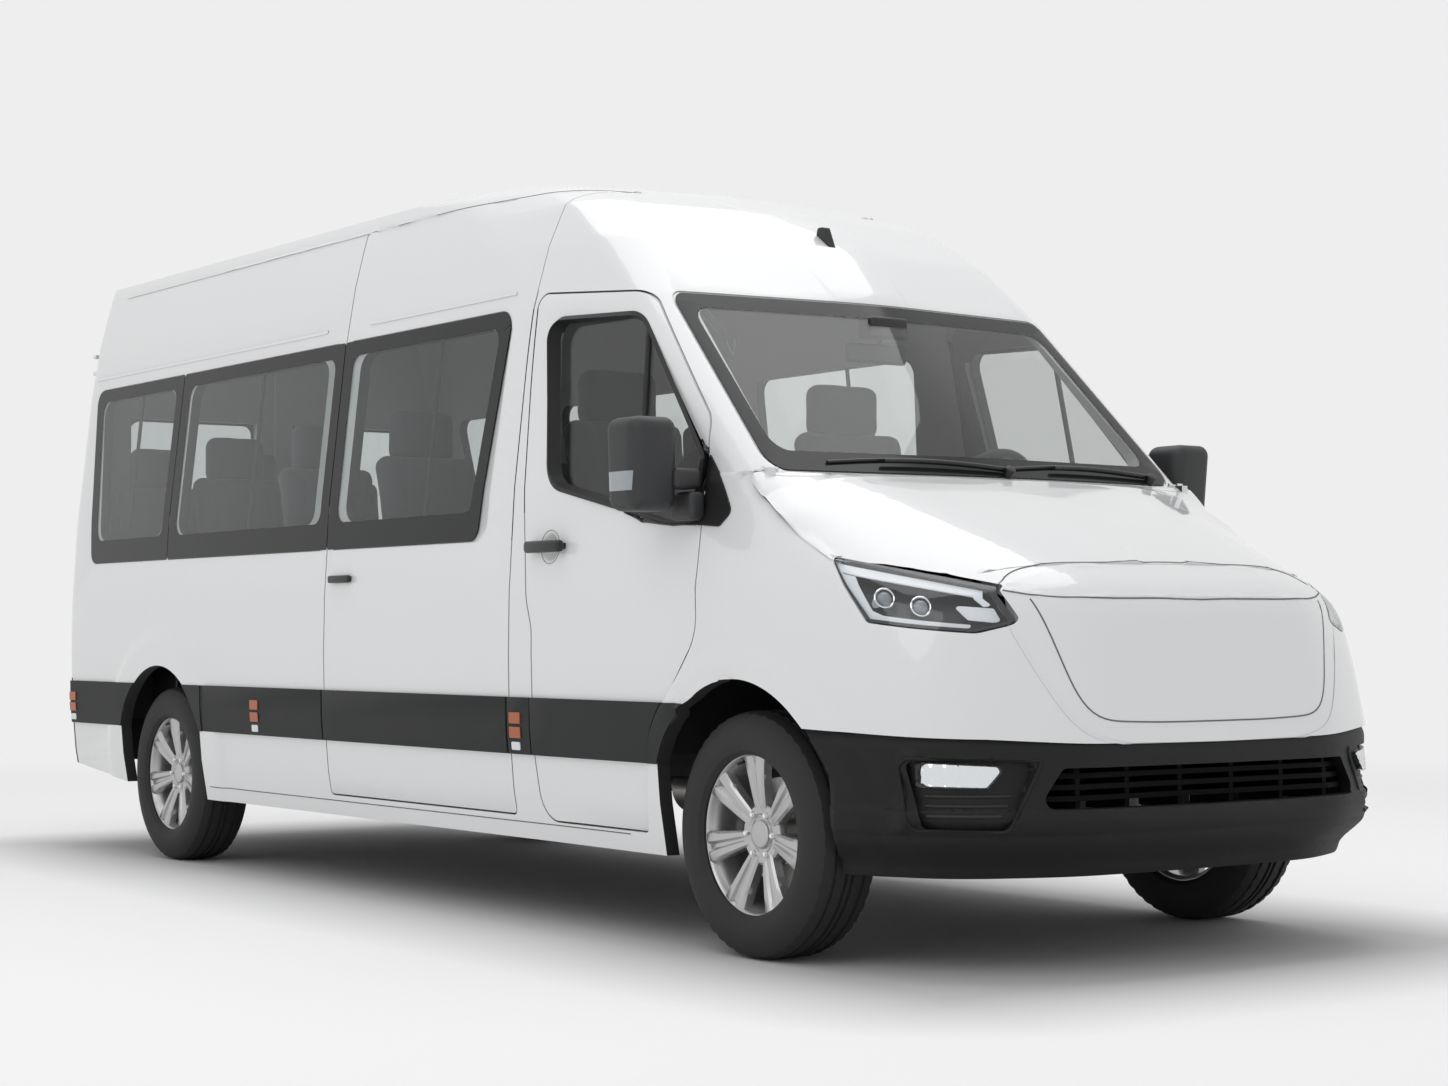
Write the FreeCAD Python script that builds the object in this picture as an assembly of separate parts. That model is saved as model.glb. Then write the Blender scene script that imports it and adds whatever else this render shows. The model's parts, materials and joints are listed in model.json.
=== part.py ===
import FreeCAD, Part
import functools
import math
import os
from FreeCAD import Vector

# A high-roof passenger van. Millimetres; +X forward, +Y to the van's left, +Z up.
# The origin lies on the ground at mid-length. Tables marked "axle" give x from the front axle.

# ---- driving sizes ----
body_length = 6010.0
front_overhang = 950.0
wheelbase = 4020.0
hinge_radius = 7.0      # barrels of the rear door hinges
rear_hinge_out = 8.0    # their axis behind the rear face
overall_length = body_length + rear_hinge_out + hinge_radius
front_axle_x = overall_length / 2 - front_overhang
rear_axle_x = front_axle_x - wheelbase
rear_x = overall_length / 2 - body_length

wall = 45.0             # side, roof and door thickness
hood_wall = 25.0
glass_thickness = 5.0
frit_width = 45.0       # glass edge that overlaps its panel
door_gap = 6.0          # round everything that opens
strip_depth = 13.0      # how far the rub strip stands proud

# wheels
tyre_radius = 350.0
tyre_width = 225.0
rim_radius = 205.0
rim_width = 180.0
track_half = 845.0      # wheel centre plane from the middle
kingpin_y = 760.0
stub_radius = 28.0
running_gap = 0.3
stub_reach = 18.0       # stub end beyond the wheel's centre plane
knuckle_low_z = 246.0
knuckle_high_z = 464.0
knuckle_radius = 30.0
kingpin_radius = 10.0
joint_gap = 3.0         # between the knuckle and the arms' ends
arm_radius = 16.0
lower_arm_z = 205.0     # lower arms at the kingpin
strut_y = 640.0
rim_lip = 14.0
spoke_count = 7
disc_radius = 150.0

# wheel arches
arch_radius = 433.0
arch_half = 395.0
arch_centre_z = 357.0

# heights
strip_bottom_z = 535.0
strip_top_z = 716.0
door_bottom_z = 332.0
floor_top_z = 600.0
floor_thickness = 40.0
floor_bottom_z = floor_top_z - floor_thickness
rail_bottom_z = 450.0
rail_y = 390.0
belt_z = 1384.0
roof_seam_z = 2388.0
door_top_z = 2030.0
roof_z = 2458.0

side_bend_x = -1000.0   # axle: the sides run straight behind this
# plan of the lower body: z, half width, wing (x, y), corner (x, y), nose (x, y), centre x; axle
BODY_SECTIONS = [
    (265, 940, (300, 935), (690, 850), (860, 480), 885),
    (420, 966, (300, 961), (745, 880), (928, 480), 953.5),
    (620, 983, (300, 978), (720, 885), (890, 480), 915),
    (850, 987, (240, 983), (670, 865), (850, 470), 872),
    (1050, 984, (160, 970), (610, 830), (835, 450), 862),
    (1384, 964, (-65, 879), (480, 740), (800, 420), 845),
]
# plan of the upper body: z, half width, side bend x, corner (x, y), corner radius, centre x; axle
CAB_SECTIONS = [
    (1384, 964, -1000, (-65, 879), 120, 5),
    (1970, 897, -1300, (-668, 826), 120, -575),
    (2180, 861, -1500, (-900, 790), 160, -790),
    (2320, 826, -1700, (-1100, 750), 200, -985),
    (2410, 800, -1900, (-1360, 690), 220, -1210),
    (2465, 780, -2300, (-1700, 640), 220, -1500),
]
# cross-sections of the hood and nose top: x, centre z, shoulder (y, z), edge (y, z), z at the side; axle
NOSE_SECTIONS = [
    (-60, 1390, (600, 1389), (885, 1386), 1180),
    (10, 1385, (590, 1375), (850, 1330), 1130),
    (324, 1272, (560, 1250), (885, 1134), 960),
    (720, 1107, (420, 1098), (628, 1045), 700),
    (870, 1012, (380, 1000), (600, 935), 600),
    (1000, 900, (380, 890), (600, 800), 500),
]

# side outlines, each point x, z, corner radius; axle
DOOR_OUTLINE = [
    (-1075, 330, 90), (-1102, 520, 300), (-1108, 935, 150), (-1140, 1020, 150), (-1180, 1330, 900),
    (-1228, 2018, 40), (-690, 1975, 140), (-285, 1545, 120), (-222, 1120, 500), (-200, 910, 150),
    (-300, 790, 200), (-430, 640, 250), (-480, 330, 15)]
DOOR_WINDOW = [
    (-1150, 1925, 60), (-690, 1905, 130), (-262, 1430, 60), (-262, 1245, 20), (-400, 1245, 200),
    (-1040, 1385, 110)]
# three points of the door glass's outer face: x, z, y
DOOR_GLASS_PLANE = [(-1100, 1245, 950), (-262, 1384, 876), (-1000, 1925, 848)]
slide_rear_x, slide_front_x = -2551.0, -1247.0
SLIDE_OUTLINE = [
    (slide_rear_x, 340, 20), (slide_rear_x, roof_seam_z, 12),
    (slide_front_x, roof_seam_z, 12), (slide_front_x, 340, 20)]
HOOD_SIDE = [
    (-60, 1700, 0), (-60, 1354, 0), (0, 1308, 40), (115, 1234, 200), (302, 1140, 20), (720, 1048, 0),
    (760, 1035, 0), (760, 1700, 0)]
HEADLAMP = [
    (302, 1138, 12), (720, 1045, 12), (768, 946, 20), (718, 918, 20), (478, 948, 30)]
WING_SEAM = [
    (478, 948, 0), (420, 861, 300), (373, 793, 60), (300, 752, 60), (160, 716, 0)]
# windows of the long side: x rear, x front at the top, x front at the bottom; axle
PANES = [(-4905, -3985, 120, 0), (-3975, -2600, 0, 0), (-2505, -1362, 0, 110)]
pane_bottom_z = 1222.0
pane_top_z = 1978.0
clear_bottom_z = 1318.0
clear_top_z = 1925.0

# grille panel on the nose: half outline y, z, radius
GRILLE_OUTLINE = [(568, 1014, 25), (545, 900, 300), (480, 700, 130), (400, 664, 60)]
LOWER_GRILLE = [(545, 560, 25), (625, 452, 25)]
FOG_LAMP = [(876, 578, 12), (688, 566, 12), (742, 508, 12), (876, 512, 12)]
FOG_RECESS = [(896, 590, 25), (605, 582, 25), (690, 396, 30), (872, 396, 30)]
# bumper top line: x, z; axle
BUMPER_TOP = [(-200, 668), (300, 660), (560, 648), (780, 638), (900, 622), (1100, 590)]

# interior
seat_row_x = [-2250, -3050, -3850, -4650]   # seat back at the cushion, from the front axle
seat_width = 430.0
SINGLE_Y = [650.0]
DOUBLE_Y = [-650.0, -205.0]
cab_seat_y = 480.0
cab_seat_x = -1180.0

# glazing of the windscreen: half outline y, z, radius
SCREEN_OUTLINE = [(812, 1388, 60), (757, 1976, 50)]
screen_clear_inset = 62.0
rear_door_half = 800.0
rear_door_bottom_z = 620.0
rear_door_top_z = 2290.0

# mirrors: head, arm and foot on the left door
MIRROR_HEAD = (-350, -232, 1008, 1173, 1272, 1545)   # axle
MIRROR_ARM = (-300, -215, 900, 1060, 1330, 1400)     # axle
MIRROR_FOOT = [(-420, 1238, 10), (-262, 1238, 5), (-262, 1450, 10)]
mirror_head_round, mirror_arm_round, mirror_foot_depth = 34.0, 14.0, 6.0
DOOR_HANDLE = (-1110, -915, 985, 1015, 1176, 1204)   # axle
handle_round = 8.0
HANDLE_FEET_X = (-1085, -940)

# small parts outside
marker_x = [-1190.0, -3110.0, -4930.0]
marker_z = [604.0, 650.0]
marker_half_x, marker_half_z, marker_proud = 26.0, 18.0, 4.0
WIPERS = ((-560, -39, 60, 12), (100, 9, 700, -50))   # ends of each blade: y, x from the axle
wiper_z, wiper_radius = 1410.0, 8.0                     # behind the sweep of the hood's rear edge
wiper_post_radius, wiper_post_height = 6.0, 70.0
ANTENNA = [(-905, 2150, 0), (-880, 2262, 10), (-850, 2262, 8), (-800, 2150, 0)]
antenna_half = 14.0

# door hinges
rear_hinge_y = 803.0
rear_hinge_z = [760.0, 1480.0, 2080.0]
hinge_pin_radius = 3.0
hood_hinge_x, hood_hinge_z = -60.0, 1392.0   # axle
hood_hinge_y = 806.0    # inner end of the hinge's barrels
hood_barrel_radius = 6.0
hood_barrel = 24.0      # the hood's barrel; the wing's are half as long, one at each end
cowl_width = 22.0
toe_x = -440.0          # axle: floor between the front wheels starts here
bulkhead_x = -200.0     # axle
bumper_side = 95.0      # how far the rear bumper wraps round each side
split_x = front_axle_x - 2554.0    # the cross-section is constant behind this
wing_foot_x = -483.0    # axle: seam between sill and front wing
wing_top_x = 160.0      # axle: the wing reaches up to the waist behind this
door_inner_y = 500.0    # the front doors' cut starts this far out
slide_inner_y = 450.0
inner_clearance = 9.0   # inside pieces from a door that opens
fog_depth = 22.0
lamp_inner_y = 600.0    # headlamps end here behind the nose
# holes for a towing frame: rear rail ends, from below
tow_hole_radius = 6.5
tow_x = [rear_x + 125.0, rear_x + 245.0]
engine_rear_x = -75.0   # axle
diff_radius = 150.0
liner_thickness = 5.0
# wheel wells: axle, half length, inner y, lid
WELLS = [(front_axle_x, 440, 445, 900), (rear_axle_x, 484, 655, 860)]
CROSS_X = [rear_x + 90, -1300.0, 200.0, front_axle_x + 570.0]
# jacking pads under the rails
jack_x = [-1200.0, front_axle_x - 900.0]
jack_half_x, jack_half_y, jack_height = 45.0, 30.0, 12.0


# ---- drawing helpers ----
def fx(x):
    """Station measured from the front axle."""
    return front_axle_x + x


def unit(ax, ay, bx, by):
    length = math.hypot(bx - ax, by - ay)
    return (bx - ax) / length, (by - ay) / length


def rounded(points, place):
    """Closed wire of straight runs and arcs through (a, b, corner radius) points."""
    edges, first, last = [], None, None
    count = len(points)
    for i in range(count):
        b = points[i]
        ua = unit(b[0], b[1], points[i - 1][0], points[i - 1][1])
        uc = unit(b[0], b[1], points[(i + 1) % count][0], points[(i + 1) % count][1])
        angle = math.acos(max(-1.0, min(1.0, ua[0] * uc[0] + ua[1] * uc[1])))
        if b[2] <= 0 or math.pi - angle < 1e-3:
            start = end = place(b[0], b[1])
        else:
            cut = b[2] / math.tan(angle / 2)
            lift = b[2] / math.sin(angle / 2) - b[2]
            half = math.hypot(ua[0] + uc[0], ua[1] + uc[1])
            start = place(b[0] + ua[0] * cut, b[1] + ua[1] * cut)
            middle = place(b[0] + (ua[0] + uc[0]) / half * lift, b[1] + (ua[1] + uc[1]) / half * lift)
            end = place(b[0] + uc[0] * cut, b[1] + uc[1] * cut)
        if last is not None and last.distanceToPoint(start) > 1e-6:
            edges.append(Part.LineSegment(last, start).toShape())
        if start.distanceToPoint(end) > 1e-6:
            edges.append(Part.Arc(start, middle, end).toShape())
        first = first or start
        last = end
    if last.distanceToPoint(first) > 1e-6:
        edges.append(Part.LineSegment(last, first).toShape())
    return Part.Wire(edges)


def both_sides(half):
    """Closed outline from half of it: the points with y > 0 are repeated at -y."""
    return half + [(-p[0], p[1], p[2]) for p in reversed(half) if p[0] > 0]


def plan_mirror(half):
    return half + [(p[0], -p[1], p[2]) for p in reversed(half) if p[1] > 0]


def offset_face(wire, grow):
    face = Part.Face(wire)
    if abs(grow) < 1e-9:
        return face
    return Part.Face(face.makeOffset2D(grow, 0).OuterWire)


def side_prism(points, side, grow=0.0, near=0.0, far=1300.0):
    """Outline in x, z from the front axle, drawn through one side: side is 1 or -1."""
    wire = rounded([(fx(x), z, r) for x, z, r in points], lambda x, z: Vector(x, side * near, z))
    return offset_face(wire, grow).extrude(Vector(0, side * (far - near), 0))


def front_prism(points, x_low, x_high, grow=0.0):
    """Outline in y, z drawn along x between two stations."""
    wire = rounded(points, lambda y, z: Vector(x_low, y, z))
    return offset_face(wire, grow).extrude(Vector(x_high - x_low, 0, 0))


def box(x0, x1, y0, y1, z0, z1):
    return Part.makeBox(x1 - x0, y1 - y0, z1 - z0, Vector(x0, y0, z0))


def rounded_box(x0, x1, y0, y1, z0, z1, r):
    shape = box(x0, x1, y0, y1, z0, z1)
    return shape.makeFillet(r, shape.Edges)


def rod(start, end, radius):
    start, end = Vector(*start), Vector(*end)
    return Part.makeCylinder(radius, (end - start).Length, start, end - start)


def union(shapes):
    shapes = list(shapes)
    return shapes[0].multiFuse(shapes[1:]).removeSplitter() if len(shapes) > 1 else shapes[0]


def group(shapes):
    """Separate solids of one node."""
    solids = []
    for shape in shapes:
        solids.extend(shape.Solids)
    return Part.makeCompound(solids) if len(solids) > 1 else solids[0]


def pair(shape):
    """A piece and its mirror image on the other side."""
    return group([shape, other_side(shape)])


def other_side(shape):
    return shape.mirror(Vector(0, 0, 0), Vector(0, 1, 0))


def biggest(shape):
    """The main solid, without slivers that a cut left beside it."""
    return max(shape.Solids, key=lambda solid: solid.Volume)


# ---- the closed body outline, at any depth under the paint; a negative depth stands proud ----
def plan_loft(sections, half_of):
    """Ruled solid through plan outlines, one for each height."""
    wires = [rounded(plan_mirror(half_of(section)), lambda x, y, z=section[0]: Vector(x, y, z))
             for section in sections]
    return Part.makeLoft(wires, True, True)


def tail_body(depth):
    """Everything behind the split, where the cross-section no longer changes."""
    sections = BODY_SECTIONS + CAB_SECTIONS[1:]
    solid = plan_loft(sections, lambda s: [(rear_x + depth, s[1] - depth, 100), (split_x, s[1] - depth, 0)])
    return solid.common(roof_tunnel(depth))


def lower_body(depth):
    """From the split to the nose, up to the waist and under the hood line."""
    def half(section):
        z, half_width, wing, corner, nose, centre = section
        return [(split_x, half_width - depth, 0),
                (fx(side_bend_x), half_width - depth, 1200),
                (fx(wing[0]), wing[1] - depth, 120),
                (fx(corner[0]) - depth * 0.7, corner[1] - depth * 0.7, 330),
                (fx(nose[0]) - depth, nose[1] - depth * 0.3, 450),
                (fx(centre) - depth, 0, 2500)]
    behind = box(split_x - 100, fx(NOSE_SECTIONS[0][0]), -1200, 1200, 0, belt_z + 100)
    return plan_loft(BODY_SECTIONS, half).common(behind.fuse(nose_roof(depth)))


def upper_body(depth):
    """From the split to the windscreen, over the waist."""
    def half(section):
        z, half_width, bend, corner, radius, centre = section
        return [(split_x, half_width - depth, 0),
                (fx(bend), half_width - depth, 1200),
                (fx(corner[0]) - depth * 1.2, corner[1] - depth, radius),
                (fx(centre) - depth * 1.4, 0, 1300)]
    return plan_loft(CAB_SECTIONS, half).common(roof_tunnel(depth))


def roof_tunnel(depth):
    """The roof's crown and its rounded edges, drawn along x."""
    top = roof_z - depth
    section = [(1400, 200, 0), (1200, 1300, 0), (840 - depth, top - 12, 130), (0, top + 12, 6000)]
    return front_prism(both_sides(section), rear_x - 100, fx(front_overhang))


def nose_roof(depth):
    wires = []
    for x, centre, shoulder, edge, side in NOSE_SECTIONS:
        half = [(1150, 0, 0), (1150, side - depth, 0), (edge[0], edge[1] - depth, 140),
                (shoulder[0], shoulder[1] - depth, 600), (0, centre - depth, 4000)]
        wires.append(rounded(both_sides(half), lambda y, z, x=x: Vector(fx(x), y, z)))
    return Part.makeLoft(wires, True, True)


@functools.lru_cache(maxsize=None)
def block(part, depth):
    """One of the body's three blocks at a depth: 0 tail, 1 lower front, 2 upper front."""
    return (tail_body, lower_body, upper_body)[part](depth)


@functools.lru_cache(maxsize=None)
def layer(part, outer, inner):
    return block(part, outer).cut(block(part, inner))


TAIL, LOWER, UPPER = 0, 1, 2
ALL = (TAIL, LOWER, UPPER)


def joined(shapes):
    """Solids that share faces made one, without anything empty."""
    shapes = [shape for shape in shapes if shape.Solids]
    return shapes[0].multiFuse(shapes[1:]) if len(shapes) > 1 else shapes[0]


def carve(parts, outer, inner, keep, removed=()):
    """What a region holds of the layer between two depths; inner None takes all of the inside."""
    shapes = []
    for part in parts:
        shape = block(part, outer).common(keep)
        if shape.Solids and inner is not None:
            shape = shape.cut(block(part, inner))
        for cutter in removed:
            if shape.Solids:
                shape = shape.cut(cutter)
        shapes.append(shape)
    return joined(shapes)


# ---- cutters ----
def arch_cutter(axle_x, side):
    """Wheel opening: an arc over two upright edges."""
    rise = math.sqrt(arch_radius ** 2 - arch_half ** 2)
    shoulder = arch_centre_z + rise
    p = [Vector(axle_x - arch_half, 0, 0), Vector(axle_x - arch_half, 0, shoulder),
         Vector(axle_x, 0, arch_centre_z + arch_radius), Vector(axle_x + arch_half, 0, shoulder),
         Vector(axle_x + arch_half, 0, 0)]
    wire = Part.Wire([Part.LineSegment(p[0], p[1]).toShape(), Part.Arc(p[1], p[2], p[3]).toShape(),
                      Part.LineSegment(p[3], p[4]).toShape(), Part.LineSegment(p[4], p[0]).toShape()])
    return Part.Face(wire).extrude(Vector(0, side * 1300, 0))


def pane_points(pane, inset=0.0):
    """Side window outline; the slant leans its rear or front edge."""
    x0, x1, rear_lean, front_lean = pane
    low, high = pane_bottom_z + inset, pane_top_z - inset
    if inset:
        low, high = clear_bottom_z, clear_top_z
    r_rear = 70 if rear_lean else 12
    r_front = 70 if front_lean else 12
    if inset:
        r_rear = r_front = 60
    return [(x0 + rear_lean + inset, low, r_rear), (x0 + inset, high, r_rear), (x1 - inset, high, r_front),
            (x1 - front_lean * 0.5 - inset, low, r_front)]


def glazed(panel, parts, panes, side):
    """Panel with its window openings and the rebate that the glass lies in."""
    for pane in panes:
        rebate = carve(parts, -1, glass_thickness, side_prism(pane_points(pane), side, 3))
        panel = panel.cut(rebate).cut(side_prism(pane_points(pane, frit_width * 1.7), side))
    return panel


def screen_points(inset=0.0):
    (y0, z0, r0), (y1, z1, r1) = SCREEN_OUTLINE
    return both_sides([(y0 - inset, z0 + inset * 0.8, r0), (y1 - inset, z1 - inset * 0.8, r1)])


def bumper_top_prism():
    """Everything below the line where the dark bumper meets the white nose."""
    pts = [Vector(fx(x), -1300, z) for x, z in BUMPER_TOP]
    low = [Vector(fx(BUMPER_TOP[-1][0]), -1300, 0), Vector(fx(BUMPER_TOP[0][0]), -1300, 0)]
    wire = Part.makePolygon(pts + low + pts[:1])
    return Part.Face(wire).extrude(Vector(0, 2600, 0))


def wing_seam_prism(side, shift):
    """Region ahead of the seam between wing and nose."""
    pts = [(x + shift, z, r) for x, z, r in WING_SEAM]
    outline = [(1100, 948, 0)] + pts + [(160 + shift, 0, 0), (1100, 0, 0)]
    return side_prism(outline, side)


def screen_foot(grow):
    """Plan of the windscreen's foot, drawn upward; the cowl is what it covers ahead of the cabin."""
    z, half_width, bend, corner, radius, centre = CAB_SECTIONS[0]
    half = [(rear_x, half_width, 100), (fx(bend), half_width, 1200), (fx(corner[0]), corner[1], radius),
            (fx(centre), 0, 1300)]
    wire = rounded(plan_mirror(half), lambda x, y: Vector(x, y, 1000))
    return offset_face(wire, grow).extrude(Vector(0, 0, 900))


def hood_cutter(grow):
    """Region that the hood covers: over the side seam and behind the slanted front seam."""
    side = union([side_prism(HOOD_SIDE, s, grow, -5) for s in (1, -1)])
    half = [(fx(-200), 1000, 0), (fx(600), 1000, 0), (fx(640), 640, 60), (fx(685), 420, 250),
            (fx(700), 0, 2500)]
    wire = rounded(plan_mirror(half), lambda x, y: Vector(x, y, 900))
    face = offset_face(wire, grow)
    slant = face.extrude(Vector(300, 0, 600))
    slant.translate(Vector(-100, 0, 0))
    return side.common(slant).cut(screen_foot(cowl_width - grow))


# ---- body panels ----
def door_region(side, grow):
    return side_prism(DOOR_OUTLINE, side, grow, door_inner_y)


def slide_region(side, grow):
    return side_prism(SLIDE_OUTLINE, side, grow, slide_inner_y)


def opening_panel(region_of, side):
    """A door: an outer skin to the full outline and a smaller inner part behind it."""
    skin = carve((LOWER, UPPER), 0, 18, region_of(side, -door_gap / 2))
    inner = carve((LOWER, UPPER), 17, wall, region_of(side, -door_gap / 2 - 22))
    return skin.fuse(inner)


def side_panel(side):
    """Long side from the door pillar to the tail, with the sill under the front door."""
    y0, y1 = sorted((side * 500, side * 1300))
    removed = [arch_cutter(rear_axle_x, side), door_region(side, door_gap / 2)]
    if side < 0:
        removed.append(slide_region(side, door_gap / 2))
    back = [arch_cutter(rear_axle_x, side), rear_bumper_region(), tail_rise(), tail_lamp(side),
            box(rear_x - 10, rear_x + wall + 10, -rear_door_half, rear_door_half, 0, roof_seam_z)]
    tail = glazed(carve((TAIL,), 0, wall, box(rear_x - 10, split_x, y0, y1, 0, roof_seam_z), back),
                  (TAIL,), PANES[:2], side)
    middle = box(split_x, fx(slide_front_x), y0, y1, 0, roof_seam_z)
    middle = union([middle, box(fx(slide_front_x), fx(-1000), y0, y1, 0, door_top_z),
                    box(fx(-1000), fx(wing_foot_x), y0, y1, 0, door_bottom_z + 60)])
    front = carve((LOWER, UPPER), 0, wall, middle, removed)
    if side > 0:
        front = glazed(front, (LOWER, UPPER), PANES[2:], side)
    brackets = rear_hinge(side, False)
    return biggest(joined([tail, front, brackets]))


def barrel(start, axis, length, radius, bore=0.0):
    """Hinge barrel from a point along an axis."""
    solid = Part.makeCylinder(radius, length, Vector(*start), axis)
    return solid.cut(Part.makeCylinder(bore, length, Vector(*start), axis)) if bore else solid


def rear_hinge(side, moving):
    """Barrels and leaves of one rear door's hinges: the door's part, or the body's with the pins."""
    x, up = rear_x - rear_hinge_out, Vector(0, 0, 1)
    y0, y1 = (rear_hinge_y - 60, rear_hinge_y - 3) if moving else (rear_hinge_y + 3, rear_hinge_y + 57)
    pieces = []
    for z in rear_hinge_z:
        spans = [(z, 60)] if moving else [(z - 14, 14 - running_gap), (z + 60 + running_gap, 14)]
        for low, length in spans:
            leaf = box(rear_x - 4, rear_x + 30, y0, y1, low, low + length).cut(block(TAIL, 0))
            pieces += [leaf, barrel((x, rear_hinge_y, low), up, length, hinge_radius,
                                    hinge_pin_radius + running_gap if moving else 0)]
        if not moving:
            pieces.append(barrel((x, rear_hinge_y, z - 14), up, 88, hinge_pin_radius))
    bores = [barrel((x, rear_hinge_y, z - 1), up, 62, hinge_pin_radius + running_gap) for z in rear_hinge_z]
    solid = joined(pieces)
    solid = solid.cut(Part.makeCompound(bores)) if moving else solid
    return solid if side > 0 else other_side(solid)


def hood_hinge(moving):
    """Left hood hinge: the hood's barrel, or the wing's two barrels with the pin."""
    along = Vector(0, 1, 0)
    x, z = fx(hood_hinge_x), hood_hinge_z
    short = hood_barrel / 2
    middle_y, outer_y = hood_hinge_y + short, hood_hinge_y + short + hood_barrel
    spans = [(hood_hinge_y, short - running_gap), (outer_y + running_gap, short)]
    x0, x1 = x - 26, x
    if moving:
        spans = [(middle_y, hood_barrel)]
        x0, x1 = x, x + 26
    pieces = []
    for y, length in spans:
        foot = box(x0, x1, y, y + length, z - 40, z - 2)
        pieces += [foot, barrel((x, y, z), along, length, hood_barrel_radius)]
    if not moving:
        pieces.append(barrel((x, hood_hinge_y, z), along, 2 * hood_barrel, hinge_pin_radius))
    solid = joined(pieces).cut(block(LOWER, 0)).cut(block(UPPER, 0))
    if moving:
        bore = barrel((x, middle_y - 1, z), along, hood_barrel + 2, hinge_pin_radius + running_gap)
        solid = solid.cut(bore)
    return solid


def tail_lamp(side):
    y0, y1 = sorted((side * 850, side * 1000))
    return box(rear_x - 10, rear_x + 40, y0, y1, 760, 1290)


def rear_bumper_region():
    """Dark tail below the doors, with a taller corner on each side."""
    low = box(rear_x - 50, rear_x + bumper_side, -1300, 1300, 0, rear_door_bottom_z - 10)
    corners = [box(rear_x - 50, rear_x + bumper_side, side * 1050 - 210, side * 1050 + 210, 500,
                   strip_top_z + 12)
               for side in (1, -1)]
    return union([low] + corners)


def tail_rise():
    """What is cut away under the tail, which rises behind the rear wheels."""
    x0, x1 = rear_axle_x - arch_half, rear_x - 60
    points = [Vector(x0, -1300, 0), Vector(x0, -1300, 300), Vector(x1, -1300, 372), Vector(x1, -1300, 0)]
    return Part.Face(Part.makePolygon(points + points[:1])).extrude(Vector(0, 2600, 0))


def build_panels():
    nodes = {}
    for side, name in ((1, "left"), (-1, "right")):
        nodes["side_panel_" + name] = side_panel(side)
    door = biggest(opening_panel(door_region, 1).cut(side_prism(DOOR_WINDOW, 1)))
    nodes["door_left"], nodes["door_right"] = door, other_side(door)
    slide = opening_panel(slide_region, -1)
    nodes["sliding_door"] = biggest(glazed(slide, (LOWER, UPPER), PANES[2:], -1))
    roof = carve(ALL, 0, wall, box(rear_x - 10, fx(slide_front_x), -1300, 1300, roof_seam_z, 3000))
    header = carve((TAIL,), 0, wall, box(rear_x - 10, rear_x + wall + 10, -rear_door_half, rear_door_half,
                                         rear_door_top_z + door_gap, roof_seam_z))
    nodes["roof_panel"] = biggest(roof.fuse(header))
    nodes["cab_frame"] = cab_frame()
    nodes["front_wings"] = pair(front_wing())
    nodes["nose_panel"] = nose_panel()
    hood = carve((LOWER,), 0, hood_wall, hood_cutter(-door_gap / 2))
    nodes["hood"] = biggest(joined([hood, hood_hinge(True), other_side(hood_hinge(True))]))
    return nodes


def cab_frame():
    """Roof cap, windscreen surround, pillars and the cowl at the windscreen's foot."""
    pillars = [box(fx(slide_front_x), fx(-1000), s * 900 - 400, s * 900 + 400, 0, door_top_z)
               for s in (1, -1)]
    rebate = carve((UPPER,), -1, glass_thickness, front_prism(screen_points(-3), fx(-800), fx(400)))
    removed = pillars + [door_region(s, door_gap / 2) for s in (1, -1)]
    removed += [rebate, front_prism(screen_points(screen_clear_inset), fx(-1000), fx(400))]
    frame = carve((UPPER,), 0, wall, box(fx(slide_front_x), fx(200), -1300, 1300, belt_z, 3000), removed)
    ahead = box(fx(-60), fx(200), -1300, 1300, 1250, belt_z)
    cowl = carve((LOWER,), 0, wall, ahead.common(screen_foot(cowl_width)))
    return biggest(frame.fuse(cowl))


def front_wing():
    """Left wing from the door to the nose seam, with the pillar foot and the sill end."""
    region = side_prism([(wing_foot_x, 0, 0), (wing_foot_x, belt_z, 0), (wing_top_x, belt_z, 0),
                         (wing_top_x, 1200, 0), (1100, 1200, 0), (1100, 0, 0)], 1, 0, door_inner_y)
    cowl = screen_foot(cowl_width).common(box(fx(-60), fx(400), -1300, 1300, 0, 3000))
    below = side_prism([(100, 0, 0), (100, 716, 0), (1100, 716, 0), (1100, 0, 0)], 1)
    ahead = side_prism([(478, 940, 0), (478, 1400, 0), (1100, 1400, 0), (1100, 940, 0)], 1)
    removed = [arch_cutter(front_axle_x, 1), door_region(1, door_gap / 2), hood_cutter(door_gap / 2), cowl,
               wing_seam_prism(1, 0), side_prism(HEADLAMP, 1, 2, lamp_inner_y), below, ahead]
    return biggest(joined([carve((LOWER,), 0, wall, region, removed), hood_hinge(False)]))


def nose_panel():
    """White nose between the wings, lamps and bumper, with the frame of the grille panel."""
    region = union([wing_seam_prism(s, 0) for s in (1, -1)] +
                   [box(fx(478), fx(1100), -1100, 1100, 600, 1400)])
    removed = [bumper_top_prism(), hood_cutter(door_gap / 2)]
    removed.append(front_prism(both_sides(GRILLE_OUTLINE), fx(500), fx(1100)))
    removed += [arch_cutter(front_axle_x, side) for side in (1, -1)]
    removed += [side_prism(HEADLAMP, side, 2, lamp_inner_y) for side in (1, -1)]
    return biggest(carve((LOWER,), 0, wall, region, removed))


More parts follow.
